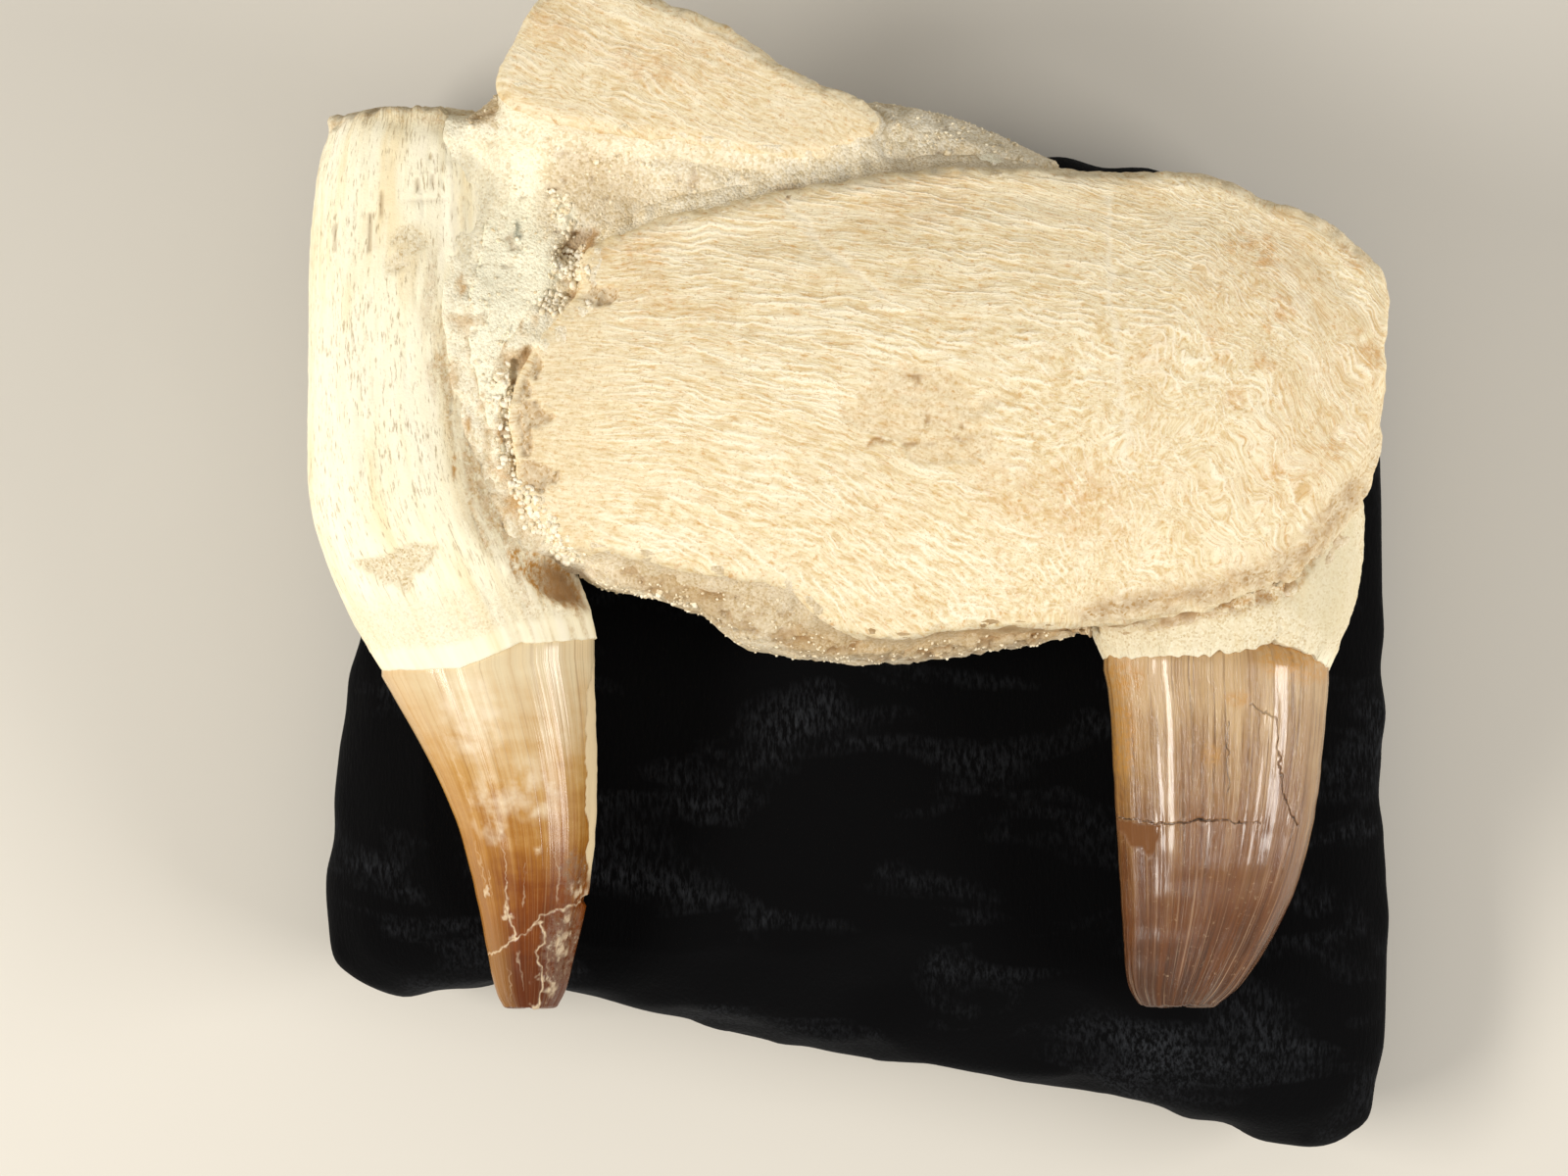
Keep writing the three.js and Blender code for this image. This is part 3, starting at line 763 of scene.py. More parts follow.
# Crumbs of calcite: in a pocket by the jaw's upper left corner, along the seam between the left root
# and the jaw, and along the lower edge.
CALCITE = (
    ((-37.6, 53.0), (1.9, 3.4), 8), ((-36.4, 46.6), (3.2, 3.6), 8), ((-38.8, 41.6), (2.2, 2.0), -35),
    ((-33.0, 41.6), (2.0, 0.9), -10), ((-25.6, 3.6), (5.5, 1.6), -12),
)
CALCITE_SEAM = (
    (-45.2, 31.5), (-44.0, 26.9), (-44.0, 22.7), (-43.0, 18.8), (-41.6, 15.4), (-39.6, 12.4), (-36.6, 9.6),
)
HOLES = (((-36.4, 46.4), (2.2, 3.4), 10), ((-38.6, 41.4), (1.8, 1.4), 20), ((-33.6, 41.6), (1.6, 0.8), 0))
# Crevices by the jaw bone's top and bottom edges, cut in, with pit colour: part sand, part painted shade.
CREVICES = (
    ((-10, 54.9), (-3.4, 55.2), (4.6, 56.0), (15.2, 53.3)), ((2.0, 0.6), (12, 0.8), (24.4, 0.4), (31, 1.2)),
)
# A lump on the sandstone above the jaw bone, and a blue-grey spot beside the left root.
LUMP = ((16.0, 58.6), (3.4, 2.4), 0)
BLUE_SPOT = ((-42.9, 50.6), (0.65, 1.3), -20)


def tucked(points, node):
    """The points with the thin edge of the sandstone drawn down under a root's face, to show no gap."""
    tree = solid_tree(node)
    for at, (x, y, z) in enumerate(points):
        hit = tree.ray_cast((x, y, OVERHEAD), (0, 0, -1))[0]
        if hit and -1 < z - hit.z < 2.2:
            points[at, 2] -= (1 - smoothstep(z - hit.z, 0.6, 2.2)) * (z - hit.z + 0.4)
    return points


def duskiness(points):
    return np.clip(in_ovals(points, DUSKY), 0, 1)


def orange(points):
    """Where iron has stained the bone and the sand by the left root's seam."""
    return np.clip(in_ovals(points, ORANGE_SPOTS), 0, 1)


def notched(points):
    """How far a point is inside the brown notches along the left edge of the jaw bone."""
    return smoothstep(in_ovals(shaken(points, 1.6, 0.7, 61), EDGE_PITS), 0.2, 0.6)


def pocket(points):
    """How far a point is inside the pocket of calcite, which is all but the last of its patches."""
    return np.clip(in_ovals(points, CALCITE[:-1]), 0, 1)


def dress_stone(piece):
    """Gives the sandstone its lumps, holes and crevices, and the marks that its material reads."""
    mesh = piece.data
    points, facing = places(mesh), facings(mesh)
    points = tucked(tucked(points, "left_root"), "right_root")
    front = smoothstep(facing[:, 2], 0.0, 0.5)
    wobbly = shaken(points, 1.8, 0.8, 101)
    dusky = duskiness(wobbly)
    patches = (CALCITE, HOLES, EDGE_PITS)
    calcite, holes, pits = (np.clip(in_ovals(wobbly, ovals), 0, 1) * front for ovals in patches)
    holes *= smoothstep(noise(points, 1.5, 103), 0.0, 0.35)
    seam = near_lines(wobbly, 0.9, CALCITE_SEAM) * front
    crevice = near_lines(wobbly, 0.7, *CREVICES) * front
    lump = in_oval(wobbly, *LUMP)
    low = dusky * (1 - smoothstep(points[:, 1], 9, 14))
    crumbs = smoothstep(rough(points, 1.1, 121, 2), 0.0, 0.5)
    hollows = noise(points, 1.1, 111)
    height = (
        0.2
        + 0.45 * rough(points, 7, 105, 3)
        + 0.2 * rough(points, 1.7, 107, 2)
        + 0.45 * calcite * noise(points, 1.3, 109)
        + 0.5 * seam * (1 + noise(points, 1.1, 117))
        + 0.7 * lump * front
        - 0.6 * holes
        - 0.4 * pits
        - 0.9 * crevice
        - 0.35 * smoothstep(hollows, 0.45, 0.8)
        + low * (0.45 * rough(points, 2.2, 125, 3) - 0.6 * crumbs)
    )
    put(mesh, points + facing * height[:, None])
    # A pale band beside the left root: pale sand, with painted light on it as well, against the shade of its
    # slope.
    bright = smoothstep(-points[:, 0] + 2 * noise(points, 4, 119), 37, 42)
    bright = bright * (1 - smoothstep(points[:, 1], 58, 64)) * front
    faint = 0.5 * smoothstep(noise(points, 11, 113), 0.1, 0.6) + 0.3 * (1 - front)
    few = 0.02 * (1 - low) * smoothstep(noise(points, 6, 127), -0.3, 0.4) * front
    # Along the lower edge the sunken crumbs get the pit colour: red-brown pits, and painted shade in them.
    crumbled = low * crumbs
    # In the crevices the pit colour is part red-brown sand and part painted shade.
    pit = 0.75 * crumbled + 0.6 * holes + 0.6 * pits + 0.6 * crevice + 0.4 * smoothstep(hollows, 0.55, 0.8)
    mark(
        mesh,
        dusk=dusky * front + faint * (1 - 0.8 * bright),
        calcite=0.8 * calcite + seam + 0.8 * lump + bright,
        ochre=orange(wobbly) * front + 0.35 * low * smoothstep(noise(points, 3, 123), 0.1, 0.6),
        pit=pit,
        blue=in_oval(wobbly, *BLUE_SPOT) * front,
        grit=0.25 + 0.75 * smoothstep(noise(points, 5, 115), -0.2, 0.5),
        pebbles=calcite + 0.6 * seam + few,
    )


def bedded_sandstone():
    """Soft phosphatic sandstone, picked away with a needle: dull packed grains, paler where calcite is."""
    stone = look("stone_look")
    wanted = ("dusk", "calcite", "pit", "blue", "ochre")
    material, tree, place, marks = fresh_material("crumbling sandstone", *wanted)
    # Packed grains about 0.35 mm across, each a little different in colour.
    packed = {"Vector": place, "Scale": per(0.35)}
    tint = add(tree, "SeparateColor", (add(tree, "TexVoronoi", packed, out="Color"),), out="Green")
    mottle = add(tree, "TexNoise", {"Vector": place, "Scale": per(3.5), "Detail": 6, "Roughness": 0.65})
    tone = add(tree, "Mix", {"Factor_Float": 0.4, "A_Float": mottle, "B_Float": tint})
    tones = ((0.28, "#dccaa5"), (0.5, stone.sand_colour), (0.76, "#fbf3df"))
    colour = add(tree, "ValToRGB", (tone,), stops=tones)
    dusky = {"Factor_Float": marks["dusk"], "A_Color": "#ffffff", "B_Color": "#d6cab9"}
    dusky = add(tree, "Mix", dusky, data_type="RGBA")
    shaded = {"Factor_Float": 1, "A_Color": colour, "B_Color": dusky}
    colour = add(tree, "Mix", shaded, data_type="RGBA", blend_type="MULTIPLY")
    # Calcite gets at least 0.6 of its pale paint: part its colour, part painted light against the slope's
    # shade.
    chalk = add(tree, "MapRange", (tint, 0, 0.5, 0.6, 1))
    chalk = add(tree, "Math", (chalk, marks["calcite"]), operation="MULTIPLY")
    # Dark grains here and there, about 0.2 mm across.
    speck = add(tree, "TexNoise", {"Vector": place, "Scale": per(0.4), "Detail": 3, "Roughness": 0.75})
    fleck = add(tree, "Math", (marks["dusk"], 0.07, speck), operation="MULTIPLY_ADD")
    fleck = add(tree, "MapRange", (fleck, 0.58, 0.72, 0, 0.7))
    blot = add(tree, "MapRange", (mottle, 0.42, 0.58, 0, 0.8))
    blot = add(tree, "Math", (blot, marks["ochre"]), operation="MULTIPLY")
    for share, paint in (
        (chalk, "#fefae2"), (blot, "#bd8c42"), (marks["pit"], stone.pit_colour), (marks["blue"], "#a8a896"),
        (fleck, "#ab8c60"),
    ):
        layer = {"Factor_Float": share, "A_Color": colour, "B_Color": paint}
        colour = add(tree, "Mix", layer, data_type="RGBA")
    relief = add(tree, "TexVoronoi", packed, out="Distance")
    height = add(tree, "Math", (relief, -0.7, speck), operation="MULTIPLY_ADD")
    bump = add(tree, "Bump", {"Strength": 0.8, "Distance": 0.18 * MM, "Height": height})
    finish = {"Base Color": colour, "Roughness": 0.92, "Specular IOR Level": 0.25, "Normal": bump}
    add(tree, "OutputMaterial", (add(tree, "BsdfPrincipled", finish),))
    return material


def loose_grain(name, dark, pale, roughness):
    """One kind of loose grain: each is a single colour between dark and pale, dull or a little glassy."""
    material, tree, place, _ = fresh_material(name)
    tint = add(tree, "TexNoise", {"Vector": place, "Scale": per(1.1), "Detail": 2})
    colour = add(tree, "ValToRGB", (tint,), stops=((0.35, dark), (0.6, pale)))
    finish = {"Base Color": colour, "Roughness": roughness, "Specular IOR Level": 0.35}
    add(tree, "OutputMaterial", (add(tree, "BsdfPrincipled", finish),))
    return material


# A square metre in square centimetres, and how many calcite pebbles there are to a grain of sand where
# they lie closest.
SQUARE_METRE = 1e4
PEBBLE_CROWD = 5


def scatter_tree(name, material):
    """Geometry nodes that stand small lumps on a surface, as closely as a mark on it says."""
    tree = bpy.data.node_groups.new(name, "GeometryNodeTree")
    tree.is_modifier = True
    for socket, kind in (
        ("Surface", "Geometry"), ("Width", "Float"), ("Density", "Float"), ("Where", "String"),
        ("Seed", "Int"),
    ):
        tree.interface.new_socket(socket, in_out="INPUT", socket_type="NodeSocket" + kind)
    tree.interface.new_socket("Grains", in_out="OUTPUT", socket_type="NodeSocketGeometry")
    given = tree.nodes.new("NodeGroupInput").outputs
    seed = given["Seed"]
    share = add(tree, "GeometryNodeInputNamedAttribute", {"Name": given["Where"]}, data_type="FLOAT")
    density = add(tree, "Math", (given["Density"], share), operation="MULTIPLY")
    strewn = {"Mesh": given["Surface"], "Density": density, "Seed": seed}
    points = add(tree, "GeometryNodeDistributePointsOnFaces", strewn, distribute_method="RANDOM")
    radius = add(tree, "Math", (given["Width"], 0.5), operation="MULTIPLY")
    lump = add(tree, "GeometryNodeMeshIcoSphere", {"Radius": radius, "Subdivisions": 1})
    chosen = []
    for low, high in (((0.5, 0.5, 0.4), (1.3, 1.3, 1.0)), ((0, 0, 0), (6.3, 6.3, 6.3))):
        between = {"Min": low, "Max": high, "Seed": seed}
        chosen.append(add(tree, "FunctionNodeRandomValue", between, data_type="FLOAT_VECTOR"))
    size, turn = chosen
    stood = {"Points": points, "Instance": lump, "Scale": size, "Rotation": turn}
    lumps = add(tree, "GeometryNodeInstanceOnPoints", stood)
    lumps = add(tree, "GeometryNodeRealizeInstances", {"Geometry": lumps})
    lumps = add(tree, "GeometryNodeSetMaterial", {"Geometry": lumps, "Material": material})
    add(tree, "NodeGroupOutput", {tree.interface.items_tree["Grains"].identifier: lumps})
    return tree


def strewn(name, over, material, where, width, crowd, turn):
    """Loose grains on a piece, wider and closer than plain sand as width and crowd say.

    where is the mark that says how closely they lie, and turn picks the scatter.
    """
    stone = look("stone_look")
    given = {
        "Width": stone.grain * width,
        "Density": stone.grains * SQUARE_METRE * crowd,
        "Where": where,
        "Seed": stone.seed + turn,
    }
    piece = new_piece(name, over.data.copy())
    modifier = piece.modifiers.new("grains", "NODES")
    modifier.node_group = scatter_tree(name, material)
    for item in modifier.node_group.interface.items_tree:
        if item.in_out == "INPUT" and item.name in given:
            modifier[item.identifier] = given[item.name]
    finish_piece(settled(piece), material, "sandstone")


class FOSSIL_OT_sandstone(bpy.types.Operator):
    """Makes the sandstone and the loose grains that stand on it"""

    bl_idname = "fossil.sandstone"
    bl_label = "Sandstone"

    def execute(self, context):
        stone = look("stone_look")
        matrix = plate("sandstone_matrix", "sandstone", stone.face / MM, 1.4, hidden_by="jaw_bone")
        dress_stone(matrix)
        sand = loose_grain("loose sand", "#dac7a3", "#f8efd6", 0.85)
        pebble = loose_grain("calcite pebbles", "#ead9b6", "#fff8e6", 0.6)
        for name, material, where, width, crowd, turn in (
            ("sand_grains", sand, "grit", 1, 1, 0),
            ("calcite_pebbles", pebble, "pebbles", 1.7, PEBBLE_CROWD, 1),
        ):
            strewn(name, matrix, material, where, width, crowd, turn)
        finish_piece(matrix, bedded_sandstone(), "sandstone", "sandstone")
        return {"FINISHED"}


# ---- Teeth -------------------------------------------------------------------------------------


# How many points each slice of a tooth has, how thick most slices are, and the radius of the plain round
# tooth that the patterns on the real one are drawn on, in millimetres.
TOOTH_SIDES = 288
SLICE = 0.45
ROUND_TOOTH_RADIUS = 13.0


def spoke(side, angle):
    """The way out from the middle of a slice, at an angle round it."""
    return side * math.cos(angle) + Vector((0, 0, math.sin(angle)))


class ToothForm:
    """A tooth part as slices across it: each one's middle, the way it runs, and its face all round."""

    def __init__(self, node, top, bottom, step):
        """top and bottom are the part's ends, as the x, y and turn in degrees of the slice there."""
        mesh, sides = node_mesh(node), TOOTH_SIDES
        tree, heights = tree_of(mesh), places(mesh)[:, 2]
        rows = int(abs(bottom[1] - top[1]) / step) + 1
        self.share = np.linspace(0, 1, rows)
        turn = np.radians(np.interp(self.share, (0, 1), (top[2], bottom[2])))
        self.side = np.stack([np.cos(turn), np.sin(turn), 0 * turn], axis=1)
        self.angle = np.linspace(-0.5, 1.5, sides, endpoint=False) * np.pi
        self.middle = np.zeros((rows, 3))
        self.radius = np.zeros((rows, sides))
        at = Vector((top[0], top[1], (heights.min() + heights.max()) / 2))
        for row, share in enumerate(self.share):
            side = Vector(self.side[row])
            along = Vector((side.y, -side.x, 0))
            if row:
                want = top[1] + share * (bottom[1] - top[1])
                at = at + along * ((want - at.y) / along.y)
            for _ in range(3):
                found = []
                for angle in self.angle[:: sides // 24]:
                    hit = tree.ray_cast(at, spoke(side, angle))[0]
                    if hit:
                        found.append(hit)
                low, high = (Vector(f(v[k] for v in found) for k in range(3)) for f in (min, max))
                centre = (low + high) / 2
                at = at + side * (centre - at).dot(side) + Vector((0, 0, centre.z - at.z))
            self.middle[row] = at
            for column, angle in enumerate(self.angle):
                far = tree.ray_cast(at, spoke(side, angle))[3]
                self.radius[row, column] = far or self.radius[row, column - 1]
        self.middle = blur(self.middle, 3 / step)
        self.radius = blur(self.radius, 1.2 / step)
        self.radius = blur(self.radius.T, sides / 90, wrap=True).T

    def points(self):
        way = (
            np.cos(self.angle)[None, :, None] * self.side[:, None, :]
            + np.sin(self.angle)[None, :, None] * np.array([0, 0, 1.0])
        )
        return self.middle[:, None, :] + self.radius[:, :, None] * way


def cap(ring, out, steps):
    """Rings that close an end, as steps of (share of the ring's size, how far out)."""
    middle = ring.mean(axis=0)
    return [middle + (ring - middle) * share + np.array(out) * far for share, far in steps]


def wrapped(name, rings):
    """A closed piece through rings that run round a tooth, from its root to its tip."""
    rings = np.array(rings)
    rows, sides, _ = rings.shape
    corner = np.arange(rows * sides).reshape(rows, sides)
    a, b = corner[:-1], corner[1:]
    quads = np.stack([a, np.roll(a, -1, 1), np.roll(b, -1, 1), b], axis=-1).reshape(-1, 4)
    top, bottom = rows * sides, rows * sides + 1
    first, last = corner[0], corner[-1]
    fans = [(top, after, at) for at, after in zip(first, np.roll(first, -1))]
    fans += [(bottom, at, after) for at, after in zip(last, np.roll(last, -1))]
    points = np.vstack([rings.reshape(-1, 3), rings[0].mean(0), rings[-1].mean(0)])
    return built(name, points, quads.tolist() + fans)


def round_tooth(form, caps_before, caps_after):
    """Where each point of a wrapped tooth is on a plain round tooth, so that lines run to its tip."""
    down = np.pad(form.middle[:, 1], (caps_before, caps_after), "edge")
    grid = np.zeros((len(down), len(form.angle), 3))
    grid[:, :, 0] = ROUND_TOOTH_RADIUS * np.cos(form.angle)
    grid[:, :, 1] = down[:, None]
    grid[:, :, 2] = ROUND_TOOTH_RADIUS * np.sin(form.angle)
    ends = [[0, down[0], 0], [0, down[-1], 0]]
    return np.vstack([grid.reshape(-1, 3), ends])


def in_outline(points, outline, soft):
    """1 inside an outline in XY and 0 outside, over a soft edge."""
    x, y = points[:, 0], points[:, 1]
    inside = np.zeros(len(points), bool)
    closed = list(outline) + [outline[0]]
    for (ax, ay), (bx, by) in zip(closed[:-1], closed[1:]):
        if ay != by:
            crossing = (ay > y) != (by > y)
            inside ^= crossing & (x < ax + (y - ay) / (by - ay) * (bx - ax))
    away = near_line(points, closed) * np.where(inside, 1, -1)
    return smoothstep(away, -soft, soft)


def left_crown_form():
    return ToothForm("left_crown", (-47.9, -3.3, 5.5), (-42.3, -49.6, 0), SLICE)


def right_crown_form():
    return ToothForm("right_crown", (46.0, -4.7, -3.4), (41.0, -49.3, 0), SLICE)


# Where the root bone stops on each crown, as the height y at each x.
LEFT_COLLAR = ((-62, -50.5, -46.6, -42.7, -34), (-5.0, -4.5, -2.9, -1.2, -0.9))
RIGHT_COLLAR = ((30, 36.5, 42.8, 49.0, 52.7, 56.5, 61), (-3.6, -3.2, -3.2, -2.2, -1.2, -2.4, -5.4))

# Marks on the left root.
SLOTS = (
    ((-61.7, 52.5), (-61.7, 48.0)), ((-60.2, 55.1), (-60.2, 52.3)), ((-66.3, 51.3), (-66.3, 48.2)),
    ((-53.7, 57.2), (-53.7, 56.2)), ((-55.6, 56.7), (-55.6, 55.6)),
)
TEE_BAR = ((-58.0, 54.2), (-52.2, 54.1))
SANDY_TRIANGLE = (
    (-64.4, 8.5), (-59.8, 9.6), (-56.1, 11.0), (-52.8, 11.0), (-54.6, 8.0), (-57.4, 5.0), (-61.1, 6.5),
)
GREY_FLANK = (
    (-54.5, 34), (-51.5, 24), (-50.0, 14), (-47.8, 10.5), (-38.0, 4.5), (-34.0, 12), (-40.0, 32), (-48, 38),
)
SUNKEN_PATCH = (((-56.4, 49.6), (3.2, 2.4)), ((-58.2, 46.6), (2.0, 1.6), 40))
GREY_TOP = (((-49.5, 66), (6, 6)), (0.8, (-55, 65.5), (9, 5)))
STEP_RIDGE = ((-51.6, 58.5), (-51.4, 48.0))
STEP_GROOVE = ((-49.9, 55.0), (-50.0, 49.0), (-50.8, 45.4), (-49.8, 41.0))
ORANGE_SPOTS = (
    ((-47.3, 28.7), (0.8, 1.8)), ((-46.9, 20.6), (0.9, 2.4)), ((-45.4, 25.1), (0.9, 2.4)),
    ((-46.4, 33.0), (0.6, 1.6)), ((-44.7, 20.6), (1.5, 3.4)), ((-43.1, 15.4), (2.2, 2.6)),
    ((-42.5, 9.0), (2.6, 2.0)), ((-50.2, 43.6), (0.8, 2.0)), ((-51.0, 21.0), (0.5, 2.4)),
    ((-49.4, 26.0), (0.5, 1.8)),
)
# A brown hollow by the foot of the left root, on the side of the jaw, and a knob below it.
# The hollow's brown is part stain and part painted shade from the jaw's corner above it.
HOLLOW = ((-38.4, 6.2), (5.8, 2.8), -35)
KNOB = ((-37.2, 3.2), (1.6, 1.3), 0)
# Marks on the right root: a smooth slab, and the ochre joint between it and the jaw.
SLAB = ((58.5, 15.5), (63.5, 14), (64.5, 4), (61.0, -2), (53.5, 3.2))
OCHRE_JOINT = ((29, 1.5), (38, 1.8), (47, 3.4), (54, 5.5), (57.5, 10.5))


def collared(rings, line, crown, reach, proud, serration, seed):
    """Draws the last rings of a root onto its crown, to the ragged line where the bone stops.

    reach is how many rings follow, and proud how far the edge stands out from the enamel.
    """
    rings, enamel = np.array(rings), crown.points()
    enamel = np.concatenate([enamel[:1] + (0, 5, 0), enamel])
    edge = np.empty_like(rings[-1])
    for column in range(rings.shape[1]):
        down = enamel[:, column]
        y = np.interp(down[0, 0], *line)
        for _ in range(3):
            x = np.interp(-y, -down[:, 1], down[:, 0])
            y = np.interp(x, *line)
        edge[column] = [x, y, np.interp(-y, -down[:, 1], down[:, 2])]
    middle = edge.mean(axis=0)
    out = (edge - middle) * (1, 0, 1)
    edge += proud * out / np.linalg.norm(out, axis=1, keepdims=True)
    edge[:, 1] += serration * rough(edge, 1.3, seed, 2)
    pull = smoothstep(np.arange(len(rings)), len(rings) - 1 - reach, len(rings) - 1)
    return rings + pull[:, None, None] * (edge - rings[-1])


def chalky_root():
    """Root bone, once round the living tooth: dead matt and chalky, with fine slits along the root."""
    bone = look("bone_look")
    wanted = ("sand", "stain", "dusk", "smooth", "pit")
    material, tree, place, marks = fresh_material("chalky root bone", *wanted)
    growth = add(tree, "Attribute", out="Vector", attribute_name="growth")
    patterns = {}
    # Down the root: broad soft bands 2 to 3 mm wide, and slits 0.15 mm wide and 1 to 2 mm long.
    for name, scale, octaves in (("bands", (0.35, 0.05, 0.35), 4), ("slits", (3.8, 0.6, 3.8), 3)):
        along = add(tree, "Mapping", {"Vector": growth, "Scale": scale})
        inputs = {"Vector": along, "Scale": 1, "Detail": octaves, "Roughness": 0.6}
        patterns[name] = add(tree, "TexNoise", inputs)
    # Patches 7 mm across, iron stain, and grit 0.4 mm across.
    for name, size, octaves, roughness in (
        ("patches", 7, 2, 0.5), ("blot", 0.9, 4, 0.7), ("grit", 0.4, 3, 0.7),
    ):
        inputs = {"Vector": place, "Scale": per(size), "Detail": octaves, "Roughness": roughness}
        patterns[name] = add(tree, "TexNoise", inputs)
    tones = ((0.32, "#f2e3bd"), (0.5, bone.root_colour), (0.66, "#fdf6e0"))
    colour = add(tree, "ValToRGB", (patterns["bands"],), stops=tones)
    # There are more slits where the root is greyer.
    slits = add(tree, "Math", (patterns["patches"], 0.22, patterns["slits"]), operation="MULTIPLY_ADD")
    slits = add(tree, "Math", (marks["dusk"], 0.12, slits), operation="MULTIPLY_ADD")
    pore = add(tree, "MapRange", (slits, 0.68, 0.80, 0, 0.65))
    keep = add(tree, "Math", (1, marks["smooth"]), operation="SUBTRACT")
    pore = add(tree, "Math", (pore, keep), operation="MULTIPLY")
    # Sand stuck to the root: grains about 0.25 mm across.
    cells = add(tree, "TexVoronoi", {"Vector": place, "Scale": per(0.26)}, out="Color")
    tint = add(tree, "SeparateColor", (cells,), out="Blue")
    sand = add(tree, "ValToRGB", (tint,), stops=((0, "#c4a878"), (0.22, "#dfcfab"), (1, "#f3ead2")))
    blot = add(tree, "MapRange", (patterns["blot"], 0.42, 0.6))
    blot = add(tree, "Math", (blot, marks["stain"]), operation="MULTIPLY")
    grey = {"Factor_Float": marks["dusk"], "A_Color": "#ffffff", "B_Color": "#dad4c6"}
    grey = add(tree, "Mix", grey, data_type="RGBA")
    # In the hollow by the jaw, the stain, grey and pit paints are part painted shade.
    for share, paint, blend in (
        (pore, bone.pore_colour, "MIX"), (1, grey, "MULTIPLY"), (marks["sand"], sand, "MIX"),
        (blot, "#b98434", "MIX"), (marks["pit"], "#8a673f", "MIX"),
    ):
        layer = {"Factor_Float": share, "A_Color": colour, "B_Color": paint}
        colour = add(tree, "Mix", layer, data_type="RGBA", blend_type=blend)
    height = add(tree, "Math", (patterns["grit"], keep), operation="MULTIPLY")
    height = add(tree, "Math", (pore, -1, height), operation="MULTIPLY_ADD")
    grainy = add(tree, "Math", (tint, marks["sand"]), operation="MULTIPLY")
    height = add(tree, "Math", (height, grainy), operation="ADD")
    bump = add(tree, "Bump", {"Strength": 0.7, "Distance": 0.14 * MM, "Height": height})
    finish = {"Base Color": colour, "Roughness": 0.78, "Specular IOR Level": 0.3, "Normal": bump}
    add(tree, "OutputMaterial", (add(tree, "BsdfPrincipled", finish),))
    return material


def root_heights(points, growth):
    """The relief that both roots have: soft bands, slits and a little grit."""
    return (
        0.16 * noise(growth, (3.5, 22, 3.5), 201)
        + 0.06 * rough(growth, (1.1, 8, 1.1), 203, 2)
        + 0.04 * rough(points, 0.9, 205, 2)
        - 0.16 * smoothstep(noise(growth, (0.7, 3.5, 0.7), 207), 0.42, 0.7)
    )


